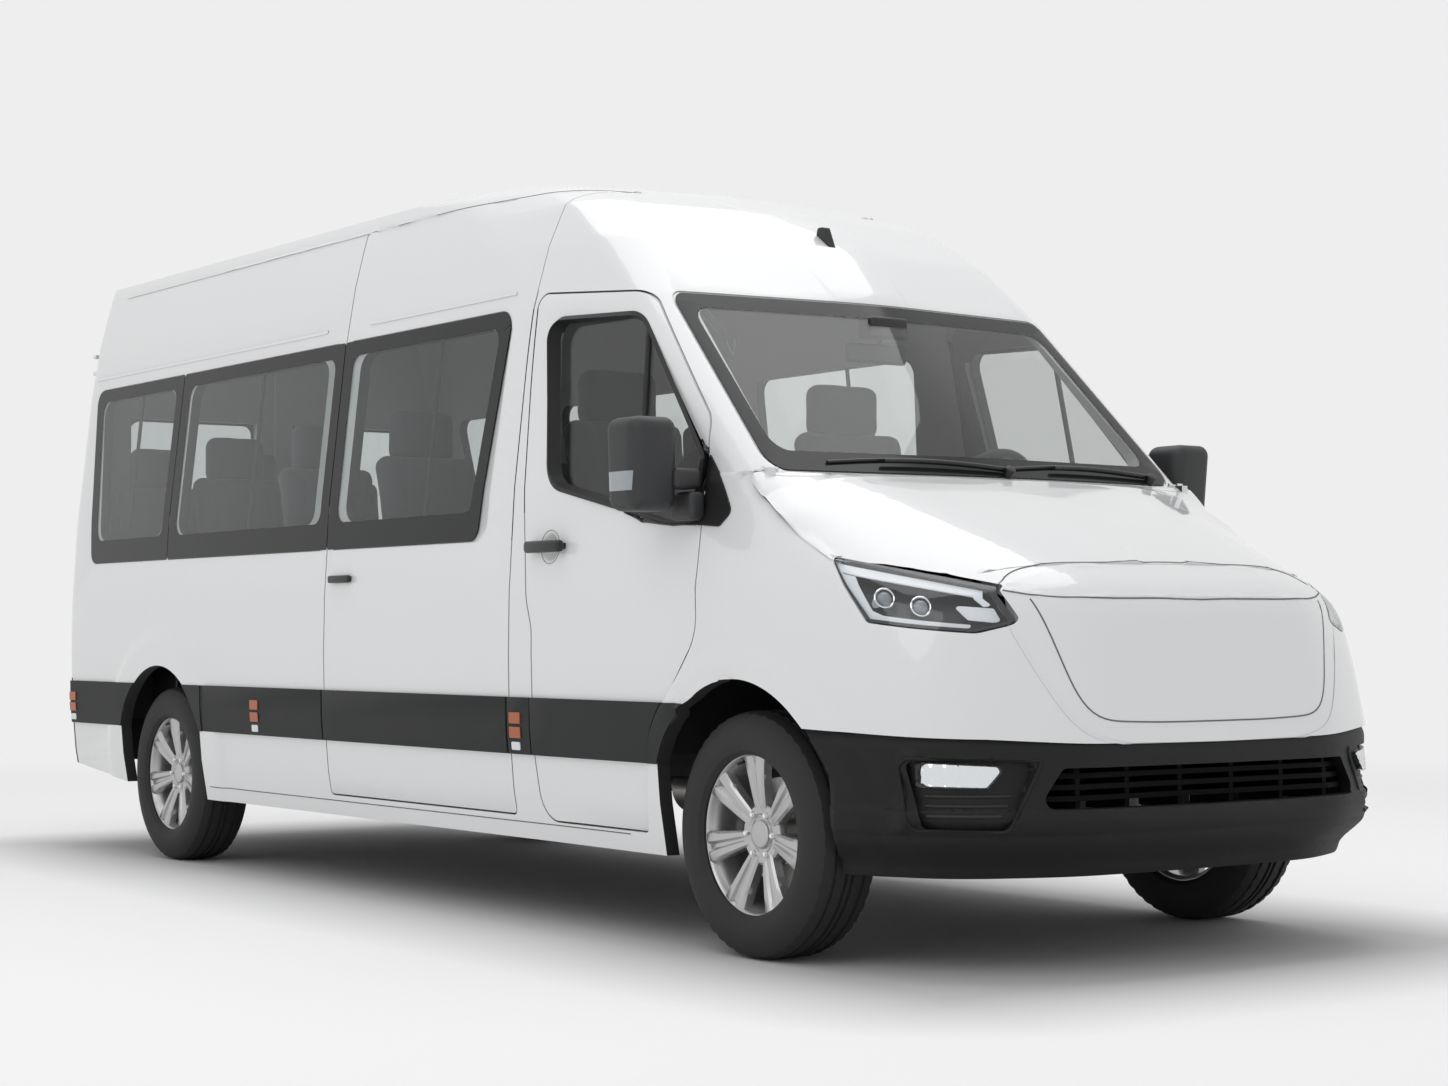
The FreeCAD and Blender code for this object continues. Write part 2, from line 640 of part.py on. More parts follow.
def build_front():
    nodes = {}
    opening = front_prism(both_sides(GRILLE_OUTLINE), fx(500), fx(1100), -0.1)
    nodes["grille_panel"] = biggest(carve((LOWER,), 0, hood_wall, opening))
    region = bumper_top_prism().common(box(fx(160), fx(1100), -1300, 1300, 0, 800))
    removed = [arch_cutter(front_axle_x, side) for side in (1, -1)]
    removed.append(front_prism(both_sides(LOWER_GRILLE), fx(500), fx(1100)))
    for side in (1, -1):
        recess = front_prism([(side * y, z, r) for y, z, r in FOG_RECESS], fx(400), fx(1100))
        removed.append(carve((LOWER,), -1, fog_depth, recess))
    nodes["front_bumper"] = biggest(carve((LOWER,), 0, wall, region, removed))
    bars = [box(fx(700), fx(860), -640, 640, z - 7, z + 7) for z in (478, 508, 538)]
    bars += [box(fx(700), fx(852), y - 8, y + 8, 440, 575) for y in (-480, -300, -100, 100, 300, 480)]
    nodes["lower_grille"] = union(bars).common(block(LOWER, wall))
    lens = front_prism([(y, z, r) for y, z, r in FOG_LAMP], fx(400), fx(1100))
    nodes["fog_lamps"] = pair(biggest(carve((LOWER,), 6, fog_depth, lens)))
    nodes["headlamps"] = pair(biggest(carve((LOWER,), 0, wall, side_prism(HEADLAMP, 1, 1.9, lamp_inner_y))))
    return nodes


def door_glass():
    """Flat pane between the left door's skin and its inner face."""
    a, b, c = [Vector(fx(x), y, z) for x, z, y in DOOR_GLASS_PLANE]
    inward = (c - a).cross(b - a).normalize()
    inward = inward if inward.y < 0 else -inward
    opening = side_prism(DOOR_WINDOW, 1).common(door_region(1, -door_gap / 2))
    return biggest(Part.makeCylinder(2500, glass_thickness, a, inward).common(opening))


def build_glass():
    nodes = {}
    screen = front_prism(screen_points(), fx(-800), fx(400))
    nodes["windscreen"] = biggest(carve((UPPER,), 0, glass_thickness, screen))
    panes = [biggest(carve((TAIL,), 0, glass_thickness, side_prism(pane_points(p), 1))) for p in PANES[:2]]
    panes.append(biggest(carve((LOWER, UPPER), 0, glass_thickness, side_prism(pane_points(PANES[2]), 1))))
    nodes["side_windows_left"] = group(panes)
    nodes["side_windows_right"] = group([other_side(pane) for pane in panes])
    glass = door_glass()
    nodes["door_glass_left"], nodes["door_glass_right"] = glass, other_side(glass)
    return nodes


# stretches of the rub strip between the door gaps and arches: x, x from the front axle, body block
STRIP_STRETCHES = [
    (-5060, -4437, TAIL), (-3600, -2556, TAIL), (-2546, -1252, LOWER), (-1242, -1106, LOWER)]


def strip_pieces():
    """Rub strip stretches along the left side, cut at the arches and door gaps."""
    pieces = []
    for x0, x1, part in STRIP_STRETCHES:
        outline = [(x0, strip_bottom_z, 0), (x0, strip_top_z, 0), (x1, strip_top_z, 0),
                   (x1, strip_bottom_z, 0)]
        region = side_prism(outline, 1, 0, 700)
        removed = [arch_cutter(rear_axle_x, 1), rear_bumper_region()]
        pieces.append(biggest(carve((part,), -strip_depth, 0, region, removed)))
    return pieces


def build_trim():
    nodes = {"side_strips": pair(group(strip_pieces()))}
    stretch = box(fx(-1102), fx(-300), 0, 1300, strip_bottom_z, strip_top_z)
    region = stretch.common(door_region(1, -door_gap / 2))
    strip = biggest(carve((LOWER,), -strip_depth, 0, region, [arch_cutter(front_axle_x, 1)]))
    x0, x1, y0, y1, z0, z1 = DOOR_HANDLE
    handle = rounded_box(fx(x0), fx(x1), y0, y1, z0, z1, handle_round)
    feet = union([box(fx(x - 12), fx(x + 12), y0 - 35, y0 + 10, z0 + 6, z1 - 6) for x in HANDLE_FEET_X])
    feet = feet.cut(block(LOWER, 0))
    trim = group([strip, handle.fuse(feet)])
    nodes["door_trim_left"], nodes["door_trim_right"] = trim, other_side(trim)
    nodes["mirror_left"], nodes["mirror_right"] = mirror_housing(), other_side(mirror_housing())
    return nodes


def mirror_housing():
    """Left mirror: head, arm and the triangular foot on the door."""
    head, arm = [rounded_box(fx(a[0]), fx(a[1]), *a[2:], r)
                 for a, r in ((MIRROR_HEAD, mirror_head_round), (MIRROR_ARM, mirror_arm_round))]
    arm = arm.cut(block(LOWER, 0)).cut(block(UPPER, 0))
    region = side_prism(MIRROR_FOOT, 1).common(door_region(1, -door_gap / 2))
    foot = carve((LOWER, UPPER), -mirror_foot_depth, 0, region)
    return biggest(head.fuse(arm).fuse(foot))


def build_rear():
    nodes = {}
    region = box(rear_x - 10, rear_x + wall + 1, door_gap / 2, rear_door_half - door_gap,
                 rear_door_bottom_z + door_gap, rear_door_top_z)
    door = carve((TAIL,), 0, wall, region)
    pane = box(rear_x - 10, rear_x + wall + 10, 90, 700, 1300, 1880)
    glass = box(rear_x, rear_x + glass_thickness, 50, 740, 1240, 1930)
    door = biggest(joined([door.cut(glass).cut(pane), rear_hinge(1, True)]))
    nodes["rear_door_left"], nodes["rear_door_right"] = door, other_side(door)
    nodes["rear_glass_left"], nodes["rear_glass_right"] = glass, other_side(glass)
    cutters = [arch_cutter(rear_axle_x, side) for side in (1, -1)] + [tail_rise()]
    nodes["rear_bumper"] = biggest(carve((TAIL,), 0, wall, rear_bumper_region(), cutters))
    nodes["tail_lamps"] = pair(biggest(block(TAIL, 0).common(tail_lamp(1))))
    return nodes


# ---- structure under and inside the body ----
def clear_of_doors(shape, side, grow):
    """Trim an inside piece so that the front door's inner face stays clear of it."""
    near = door_region(side, grow)
    return joined([shape.cut(near), shape.common(near).common(block(LOWER, wall + inner_clearance))])


def wheel_wells(clearance):
    """Boxes over the four wheels: shared by the liners and by what they pass through."""
    boxes = []
    for axle_x, half, inner_y, top in WELLS:
        for side in (1, -1):
            y0, y1 = sorted((side * (inner_y + clearance), side * 1300))
            boxes.append(box(axle_x - half + clearance, axle_x + half - clearance, y0, y1, 0,
                             top - clearance))
    return boxes


def arch_liners():
    """Open boxes over the wheels inside the body."""
    liners = []
    for full, hollow, side in zip(wheel_wells(0), wheel_wells(liner_thickness), (1, -1, 1, -1)):
        lid = full.common(box(rear_x, fx(1100), -1300, 1300, floor_bottom_z, 3000))
        parts = (TAIL, LOWER) if full.BoundBox.XMin < split_x else (LOWER,)
        liner = joined([lid.common(block(part, wall)) for part in parts]).cut(hollow)
        liners.append(biggest(clear_of_doors(liner, side, 30)))
    return liners


def floor_pan():
    """Floor slab to the front wheel wells, the toe board between them and the bulkhead."""
    inside = box(rear_x + wall + inner_clearance, fx(toe_x), -1300, 1300, floor_bottom_z, floor_top_z)
    slab = joined([inside.common(block(part, wall)) for part in (TAIL, LOWER)])
    for side in (1, -1):
        slab = clear_of_doors(slab, side, 60)
    toe_y = WELLS[0][2]
    toe = box(fx(toe_x), fx(bulkhead_x), -toe_y, toe_y, floor_bottom_z, floor_top_z)
    wide = box(fx(bulkhead_x), fx(bulkhead_x) + 25, -1300, 1300, floor_bottom_z, 1290)
    bulkhead = wide.common(block(LOWER, wall))
    for side in (1, -1):
        bulkhead = clear_of_doors(bulkhead, side, 30)
    return biggest(joined([slab, toe, bulkhead]).cut(union(wheel_wells(0))))


def build_structure():
    nodes = {"floor_pan": floor_pan(), "arch_liners": group(arch_liners())}
    rails = [box(rear_x + 60, fx(600), s * rail_y - 40, s * rail_y + 40, rail_bottom_z, floor_bottom_z)
             for s in (1, -1)]
    cross = [box(x - 30, x + 30, -rail_y, rail_y, rail_bottom_z + 20, floor_bottom_z - 10) for x in CROSS_X]
    holes = [rod((x, s * rail_y, rail_bottom_z), (x, s * rail_y, floor_bottom_z - 20), tow_hole_radius)
             for x in tow_x for s in (1, -1)]
    pads = [box(x - jack_half_x, x + jack_half_x, s * rail_y - jack_half_y, s * rail_y + jack_half_y,
                rail_bottom_z - jack_height, rail_bottom_z) for x in jack_x for s in (1, -1)]
    nodes["chassis_frame"] = union(rails + cross + pads).cut(Part.makeCompound(holes))
    engine = box(fx(engine_rear_x), fx(540), -300, 300, 480, 1000)
    mounts = [box(fx(x), fx(x + 90), -rail_y + 40, rail_y - 40, 482, 550) for x in (100, 380)]
    nodes["engine_block"] = union([engine] + mounts)
    gearbox = rod((fx(engine_rear_x), 0, 440), (fx(-450), 0, 440), 100)
    shaft = rod((fx(-450), 0, 430), (rear_axle_x + 100, 0, tyre_radius), 40)
    diff = Part.makeSphere(diff_radius, Vector(rear_axle_x, 0, tyre_radius))
    nodes["driveline"] = gearbox.fuse(shaft.cut(gearbox)).cut(diff)
    nodes["rear_axle"] = rear_axle(diff)
    nodes["front_suspension"] = front_suspension().cut(union(rails))
    nodes["fuel_tank"] = rounded_box(-700, 250, 470, 800, 330, floor_bottom_z, 30)
    nodes["exhaust"] = biggest(exhaust().cut(gearbox))
    return nodes


def rear_axle(diff):
    """Beam, differential, wheel stubs and a leaf spring under each rail."""
    beam_y = track_half - 110
    pieces = [rod((rear_axle_x, -beam_y, tyre_radius), (rear_axle_x, beam_y, tyre_radius), 42), diff]
    stub_y = track_half + stub_reach
    pieces.append(rod((rear_axle_x, -stub_y, tyre_radius), (rear_axle_x, stub_y, tyre_radius), stub_radius))
    drop = Vector(0, 0, -22)
    for s in (1, -1):
        a, b, c = (Vector(rear_axle_x - 620, s * rail_y - 35, rail_bottom_z),
                   Vector(rear_axle_x, s * rail_y - 35, tyre_radius + 42),
                   Vector(rear_axle_x + 620, s * rail_y - 35, rail_bottom_z))
        wire = Part.Wire([Part.Arc(a, b, c).toShape(), Part.LineSegment(c, c + drop).toShape(),
                          Part.Arc(c + drop, b + drop, a + drop).toShape(),
                          Part.LineSegment(a + drop, a).toShape()])
        pieces.append(Part.Face(wire).extrude(Vector(0, 70, 0)))
    return union(pieces)


def front_suspension():
    """Cross member, arms to each kingpin and the damper that reaches the wheel well's lid."""
    pieces = [box(fx(-70), fx(70), -440, 440, 330, rail_bottom_z)]
    for s in (1, -1):
        end = (fx(0), s * kingpin_y, lower_arm_z)
        pieces += [rod((fx(x), s * 400, 360), end, arm_radius) for x in (-150, 150)]
        pieces.append(rod(end, (fx(0), s * kingpin_y, knuckle_low_z - joint_gap), arm_radius - 2))
        upper = (fx(0), s * kingpin_y, knuckle_high_z + joint_gap + arm_radius - 1)
        pieces.append(rod((fx(0), s * 420, 500), upper, arm_radius - 1))
        pieces.append(rod(end, upper, kingpin_radius))
        pieces.append(rod((fx(0), s * strut_y, 280), (fx(0), s * strut_y, WELLS[0][3] - liner_thickness), 38))
        pieces.append(box(fx(-62), fx(62), s * strut_y - 40, s * strut_y + 40, 252, 292))
        pieces.append(rod((fx(-155), s * 400, 360), (fx(155), s * 400, 360), 18))
    return union(pieces)


def exhaust():
    """Pipe from the gearbox's side through the silencer and over the rear axle, on three hangers."""
    route = [(fx(-150), -80, 430), (fx(-450), -230, 430), (fx(-900), -230, 400), (fx(-1300), -230, 400),
             (fx(-3300), -230, 435), (fx(-4500), -230, 440), (rear_x + 70, -230, 420)]
    pieces = [rod(a, b, 25) for a, b in zip(route, route[1:])]
    pieces += [Part.makeSphere(25, Vector(*p)) for p in route[1:-1]]
    pieces.append(rod(route[2], route[3], 88))
    pieces += [box(x - 8, x + 8, -240, -220, 425, rail_bottom_z + 20) for x in CROSS_X[:3]]
    return union(pieces)


def seat(x, y, width, top_z):
    """Cushion, back and head restraint; x is where the back meets the cushion."""
    y0, y1 = y - width / 2, y + width / 2
    base_z, lean = floor_top_z, 12
    cushion = rounded_box(x - 30, x + 480, y0, y1, base_z + 300, base_z + 430, 40)
    back = rounded_box(x - 100, x, y0, y1, base_z + 360, top_z - 190, 40)
    back.rotate(Vector(x, y, base_z + 400), Vector(0, 1, 0), -lean)
    rest_x = x - 40 - math.tan(math.radians(lean)) * (top_z - base_z - 400)
    rest = rounded_box(rest_x - 55, rest_x + 45, y - 130, y + 130, top_z - 175, top_z, 40)
    posts = [rod((rest_x, y + d, top_z - 260), (rest_x, y + d, top_z - 100), 7) for d in (-60, 60)]
    return union([cushion, back, rest] + posts)


def bench(x, centres, foot):
    """Seats side by side over one foot between two y values."""
    seats = [seat(x, y, seat_width, 1700) for y in centres]
    seats.append(box(x + 20, x + 400, foot[0], foot[1], floor_top_z, floor_top_z + 320))
    return union(seats)


def build_cabin():
    nodes = {}
    driver = seat(fx(cab_seat_x), cab_seat_y, 500, 1770)
    foot = box(fx(cab_seat_x) + 20, fx(cab_seat_x) + 420, cab_seat_y - 190, cab_seat_y + 190, floor_top_z,
               floor_top_z + 320)
    nodes["cab_seats"] = pair(driver.fuse(foot))
    nodes["passenger_seats_left"] = group([bench(fx(x), SINGLE_Y, (450, 640)) for x in seat_row_x])
    nodes["passenger_seats_right"] = group([bench(fx(x), DOUBLE_Y, (-640, -50)) for x in seat_row_x])
    profile = [(-470, 1000, 40), (-520, 1180, 60), (-450, 1325, 50), (-80, 1345, 10), (bulkhead_x, 1290, 0),
               (bulkhead_x, 1000, 0)]
    column = rod((fx(-330), 450, 1200), (fx(-560), 450, 1330), 30)
    half = side_prism(profile, 1, 0, -1, 860).common(block(LOWER, wall + inner_clearance))
    nodes["dashboard"] = union([half, other_side(half)]).cut(column)
    wheel = Part.makeTorus(185, 15, Vector(fx(-575), 450, 1345), Vector(-230, 0, 130))
    hub = rod((fx(-560), 450, 1336), (fx(-590), 450, 1353), 60)
    spokes = [rod((fx(-572), 450 + math.cos(a) * 40, 1343 + math.sin(a) * 35),
                  (fx(-575) + math.sin(a) * 90, 450 + math.cos(a) * 180, 1345 + math.sin(a) * 160), 12)
              for a in (0.0, math.pi, -math.pi / 2)]
    nodes["steering_wheel"] = union([wheel, hub, column] + spokes)
    return nodes


# ---- wheels ----
def tyre():
    """Tyre section turned about Y, centred on the origin."""
    half = tyre_width / 2
    points = [(-half + 22, rim_radius, 0), (half - 22, rim_radius, 0), (half, rim_radius + 62, 60),
              (half - 14, tyre_radius, 34), (-half + 14, tyre_radius, 34), (-half, rim_radius + 62, 60)]
    face = Part.Face(rounded(points, lambda y, r: Vector(r, y, 0)))
    return face.revolve(Vector(0, 0, 0), Vector(0, 1, 0), 360)


def rim():
    """Alloy rim, outer face to +Y, with hub, spokes and brake disc; centred on the origin."""
    half = rim_width / 2
    barrel = [(-half, rim_radius + 12, 4), (-half + 14, rim_radius, 0), (half - 14, rim_radius, 0),
              (half, rim_radius + 12, 4), (half - 6, rim_radius - rim_lip, 0),
              (-half, rim_radius - rim_lip, 0)]
    face = Part.Face(rounded(barrel, lambda y, r: Vector(r, y, 0)))
    ring = face.revolve(Vector(0, 0, 0), Vector(0, 1, 0), 360)
    hub = Part.makeCylinder(78, 50, Vector(0, 20, 0), Vector(0, 1, 0))
    cap = Part.makeCylinder(36, 62, Vector(0, 20, 0), Vector(0, 1, 0))
    disc = Part.makeCylinder(disc_radius, 24, Vector(0, -40, 0), Vector(0, 1, 0))
    drum = Part.makeCylinder(85, 62, Vector(0, -40, 0), Vector(0, 1, 0))
    spokes = []
    for i in range(spoke_count):
        outline = [(60, -26, 0), (60, 26, 0), (rim_radius - 8, 38, 0), (rim_radius - 8, -38, 0)]
        wire = rounded(outline, lambda x, z: Vector(x, 44, z))
        spoke = Part.Face(wire).extrude(Vector(0, 28, 0))
        spoke.rotate(Vector(0, 0, 0), Vector(0, 1, 0), 90 + i * 360 / spoke_count)
        spokes.append(spoke)
    bore = Part.makeCylinder(stub_radius + running_gap, 80, Vector(0, -60, 0), Vector(0, 1, 0))
    return union([ring, hub, cap, disc, drum] + spokes).cut(bore)


def build_wheels():
    nodes = {}
    base_rim = rim()
    base_tyre = biggest(tyre().cut(base_rim))
    for end, axle_x in (("front", front_axle_x), ("rear", rear_axle_x)):
        for side, name in ((1, "left"), (-1, "right")):
            for kind, base in (("tyre", base_tyre), ("rim", base_rim)):
                piece = base.copy()
                piece.translate(Vector(axle_x, track_half, tyre_radius))
                nodes["%s_%s_%s" % (kind, end, name)] = piece if side > 0 else other_side(piece)
    for side, name in ((1, "left"), (-1, "right")):
        post = rod((fx(0), kingpin_y, knuckle_low_z), (fx(0), kingpin_y, knuckle_high_z), knuckle_radius)
        stub_end = (fx(0), track_half + stub_reach, tyre_radius)
        bore = rod((fx(0), kingpin_y, knuckle_low_z - 10), (fx(0), kingpin_y, knuckle_high_z + 10),
                   kingpin_radius + running_gap)
        knuckle = post.fuse(rod((fx(0), kingpin_y, tyre_radius), stub_end, stub_radius)).cut(bore)
        nodes["knuckle_" + name] = knuckle if side > 0 else other_side(knuckle)
    return nodes


def build_small():
    nodes = {}
    blades = []
    for y0, x0, y1, x1 in WIPERS:
        post_x, middle = fx((x0 + x1) / 2), (y0 + y1) / 2
        foot, top = (post_x, middle, wiper_z - wiper_post_height), (post_x, middle, wiper_z)
        post = rod(foot, top, wiper_post_radius)
        blades.append(rod((fx(x0), y0, wiper_z), (fx(x1), y1, wiper_z), wiper_radius).fuse(post))
    nodes["wipers"] = group([biggest(b.cut(block(LOWER, 0)).cut(block(UPPER, 0))) for b in blades])
    fin = side_prism(ANTENNA, 1, 0, -antenna_half, antenna_half)
    nodes["antenna"] = biggest(fin.cut(block(UPPER, 0)))
    lamps = []
    for x, part in zip(marker_x, (LOWER, TAIL, TAIL)):
        for z in marker_z:
            lens = box(fx(x) - marker_half_x, fx(x) + marker_half_x, 900, 1300, z - marker_half_z,
                       z + marker_half_z)
            lamps.append(biggest(carve((part,), -strip_depth - marker_proud, -strip_depth, lens)))
    nodes["marker_lamps"] = pair(group(lamps))
    return nodes


def main():
    os.makedirs("parts", exist_ok=True)
    nodes = {}
    for build in (build_panels, build_front, build_glass, build_trim, build_rear, build_structure,
                  build_cabin, build_wheels, build_small):
        nodes.update(build())
    for name, shape in sorted(nodes.items()):
        b = shape.BoundBox
        print("%-24s solids %2d valid %s  x %6.0f..%6.0f y %6.0f..%6.0f z %6.0f..%6.0f" % (
            name, len(shape.Solids), shape.isValid(), b.XMin, b.XMax, b.YMin, b.YMax, b.ZMin, b.ZMax))
        shape.exportStep("parts/%s.step" % name)
    print(len(nodes), "nodes")


main()
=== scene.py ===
import json
import math

import bmesh
import bpy
import numpy as np
from mathutils import Matrix, Vector
from mathutils.bvhtree import BVHTree


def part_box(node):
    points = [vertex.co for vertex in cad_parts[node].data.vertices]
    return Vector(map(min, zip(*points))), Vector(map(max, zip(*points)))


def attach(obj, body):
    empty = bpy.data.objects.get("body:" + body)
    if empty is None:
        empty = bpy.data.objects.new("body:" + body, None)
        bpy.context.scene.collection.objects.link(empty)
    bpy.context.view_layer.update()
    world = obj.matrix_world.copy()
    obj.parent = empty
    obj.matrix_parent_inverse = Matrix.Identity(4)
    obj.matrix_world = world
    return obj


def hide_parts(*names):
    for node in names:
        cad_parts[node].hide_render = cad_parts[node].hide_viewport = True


bl_info = {
    "name": "High-roof minibus",
    "version": (1, 0, 0),
    "blender": (4, 5, 0),
    "location": "View3D > Sidebar > Minibus",
    "description": "Dresses the packed minibus: paint, glass, lamps, trim, wheels, cabin and a studio",
    "category": "Object",
}

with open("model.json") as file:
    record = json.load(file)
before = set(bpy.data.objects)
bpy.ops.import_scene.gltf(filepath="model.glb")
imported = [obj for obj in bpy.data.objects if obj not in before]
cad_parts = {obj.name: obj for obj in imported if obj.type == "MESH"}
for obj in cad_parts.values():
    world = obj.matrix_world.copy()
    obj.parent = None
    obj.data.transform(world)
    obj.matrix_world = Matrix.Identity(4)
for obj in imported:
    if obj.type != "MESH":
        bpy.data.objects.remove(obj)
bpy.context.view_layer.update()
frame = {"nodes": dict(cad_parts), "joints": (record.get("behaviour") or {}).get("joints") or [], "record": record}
NODES = frame["nodes"]
JOINTS = {joint["name"]: joint for joint in frame["joints"]}

# ---- places read from the frame, in metres; x tables below are measured from the front axle ----
FRONT_AXLE = JOINTS["steer_left"]["pos_m"][0]
REAR_AXLE = JOINTS["wheel_rear_left_spin"]["pos_m"][0]
TYRE_LOW, TYRE_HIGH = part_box("tyre_front_left")
TYRE_RADIUS = (TYRE_HIGH.z - TYRE_LOW.z) / 2
WHEEL_Y = JOINTS["wheel_front_left_spin"]["pos_m"][1]
REAR_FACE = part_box("roof_panel")[0].x
SIDES = ((1, "left"), (-1, "right"))
PAINTED = ("side_panel_left", "side_panel_right", "sliding_door", "roof_panel", "cab_frame", "front_wings",
           "nose_panel", "hood", "grille_panel", "door_left", "door_right", "rear_door_left",
           "rear_door_right")
NOSE_PIECES = ("front_wings", "nose_panel", "grille_panel")
CAB_DOORS = ("door_left", "door_right")
LONG_SIDES = ("side_panel_left", "side_panel_right", "sliding_door")

WIDEST = 1.3  # points of a side view start this far out, clear of the body
WIDE = 1.1  # more than half the body's width
RAY_START = 5.0  # rays that look for a surface start this far outside the vehicle


def ax(x):
    """Station measured from the front axle, in metres."""
    return FRONT_AXLE + x


# ---- mesh helpers ----
CORNER_SHARE = 0.48  # a rounded corner takes up at most this share of its shorter side
STRAIGHT = 1e-3  # a turn under this angle is no corner
SAME_SPOT = 1e-6  # vertices of a turned form this near each other are one
CAD_JOIN, CAD_SLIVER = 2e-5, 1e-5  # the same for a CAD node's triangles, and its shortest kept edge
EDGE_ANGLE = math.radians(50)  # edges sharper than this are softened by a piece's bevel


def rounded(points, steps=6):
    """Closed outline through (a, b, corner radius) points, as a list of (a, b)."""
    outline = []
    count = len(points)
    for i, (a, b, radius) in enumerate(points):
        here = Vector((a, b))
        before, after = Vector(points[i - 1][:2]), Vector(points[(i + 1) % count][:2])
        back, ahead = (before - here).normalized(), (after - here).normalized()
        angle = back.angle(ahead)
        if radius <= 0 or math.pi - angle < STRAIGHT:
            outline.append(here)
            continue
        reach = min((before - here).length, (after - here).length)
        radius = min(radius, CORNER_SHARE * reach * math.tan(angle / 2))
        start = here + back * (radius / math.tan(angle / 2))
        centre = here + (back + ahead).normalized() * (radius / math.sin(angle / 2))
        arm = start - centre
        turn = (math.pi - angle) * (1 if back.cross(ahead) < 0 else -1)
        for k in range(steps + 1):
            c, s = math.cos(turn * k / steps), math.sin(turn * k / steps)
            outline.append(centre + Vector((arm.x * c - arm.y * s, arm.x * s + arm.y * c)))
    return outline


def loop_edges(bm, points):
    """Closed loop of edges through 3-D points."""
    verts = [bm.verts.new(p) for p in points]
    return [bm.edges.new((verts[i - 1], verts[i])) for i in range(len(verts))]


def filled(bm, loops):
    """Faces between the first closed loop and the holes that follow it."""
    edges = [edge for points in loops for edge in loop_edges(bm, points)]
    bmesh.ops.triangle_fill(bm, use_beauty=True, edges=edges)


def whole(bm):
    """All of a mesh, as the operators want it."""
    return bm.verts[:] + bm.edges[:] + bm.faces[:]


def cut_off(bm, spot, out):
    """Cut a mesh at a plane and drop what lies beyond it."""
    bmesh.ops.bisect_plane(bm, geom=whole(bm), plane_co=spot, plane_no=out, clear_outer=True)


def faced_out(bm):
    bmesh.ops.recalc_face_normals(bm, faces=bm.faces)


def along_axis(axis):
    """Unit vector of one of the three axes."""
    return Vector([1.0 if i == axis else 0.0 for i in range(3)])


def middle_of(bm):
    return sum((v.co for v in bm.verts), Vector()) / len(bm.verts)


def facing_of(bm):
    """Where a sheet looks: the sum of its faces' normals, by area."""
    return sum((f.normal * f.calc_area() for f in bm.faces), Vector())


def gridded(bm, axis, spacing):
    """Cut every face at regular stations along an axis, so that it can follow a curved surface."""
    values = [v.co[axis] for v in bm.verts]
    low, high = min(values), max(values)
    normal = along_axis(axis)
    for k in range(1, int((high - low) / spacing) + 1):
        place = normal * (low + k * spacing)
        bmesh.ops.bisect_plane(bm, geom=whole(bm), plane_co=place, plane_no=normal)


def target(*names):
    """Ray target made of CAD nodes."""
    verts, faces = [], []
    for name in names:
        base = len(verts)
        verts += [v.co.copy() for v in NODES[name].data.vertices]
        faces += [[base + i for i in p.vertices] for p in NODES[name].data.polygons]
    return BVHTree.FromPolygons(verts, faces)


INWARD_STEP, INWARD_LIMIT = 0.01, 0.5  # shares of the way to a piece's middle
SLOPE_SPAN = 0.03  # share of that way over which the surface's slope is measured


def dropped(bm, tree, direction, lift):
    """Move each vertex along a direction onto a surface, and off it again by the lift.

    A vertex past the surface's edge follows the slope found a little nearer the middle.
    """
    direction = Vector(direction).normalized()
    middle = middle_of(bm)

    def depth(point):
        hit = tree.ray_cast(point - direction * RAY_START, direction)[0]
        return None if hit is None else (hit - point).dot(direction)

    for vert in bm.verts:
        found, share = depth(vert.co), 0.0
        while found is None and share < INWARD_LIMIT:
            share += INWARD_STEP
            near, far = [depth(vert.co.lerp(middle, k)) for k in (share, share + SLOPE_SPAN)]
            if near is not None and far is not None:
                found = near + (near - far) * share / SLOPE_SPAN
        vert.co += direction * ((found or 0.0) - lift)


def thicken(bm, thickness, outward):
    """Turn the faces outward and give the sheet a wall behind them."""
    faced_out(bm)
    if facing_of(bm).dot(outward) < 0:
        bmesh.ops.reverse_faces(bm, faces=bm.faces)
    walled(bm, thickness)


def walled(bm, thickness):
    """Close a sheet into a solid of this thickness behind its faces."""
    bm.normal_update()
    front, rim = bm.faces[:], [e for e in bm.edges if len(e.link_faces) == 1]
    away = {v: v.normal.copy() for v in bm.verts}
    copied = bmesh.ops.duplicate(bm, geom=bm.verts[:] + bm.edges[:] + front)
    twin = copied["vert_map"]
    back = [f for f in copied["geom"] if isinstance(f, bmesh.types.BMFace)]
    for vert, normal in away.items():
        twin[vert].co = vert.co - normal * thickness
    bmesh.ops.reverse_faces(bm, faces=back)
    for edge in rim:
        loop = edge.link_loops[0]
        a, b = loop.vert, loop.link_loop_next.vert
        face = bm.faces.new((b, a, twin[a], twin[b]))
        face.material_index = loop.face.material_index


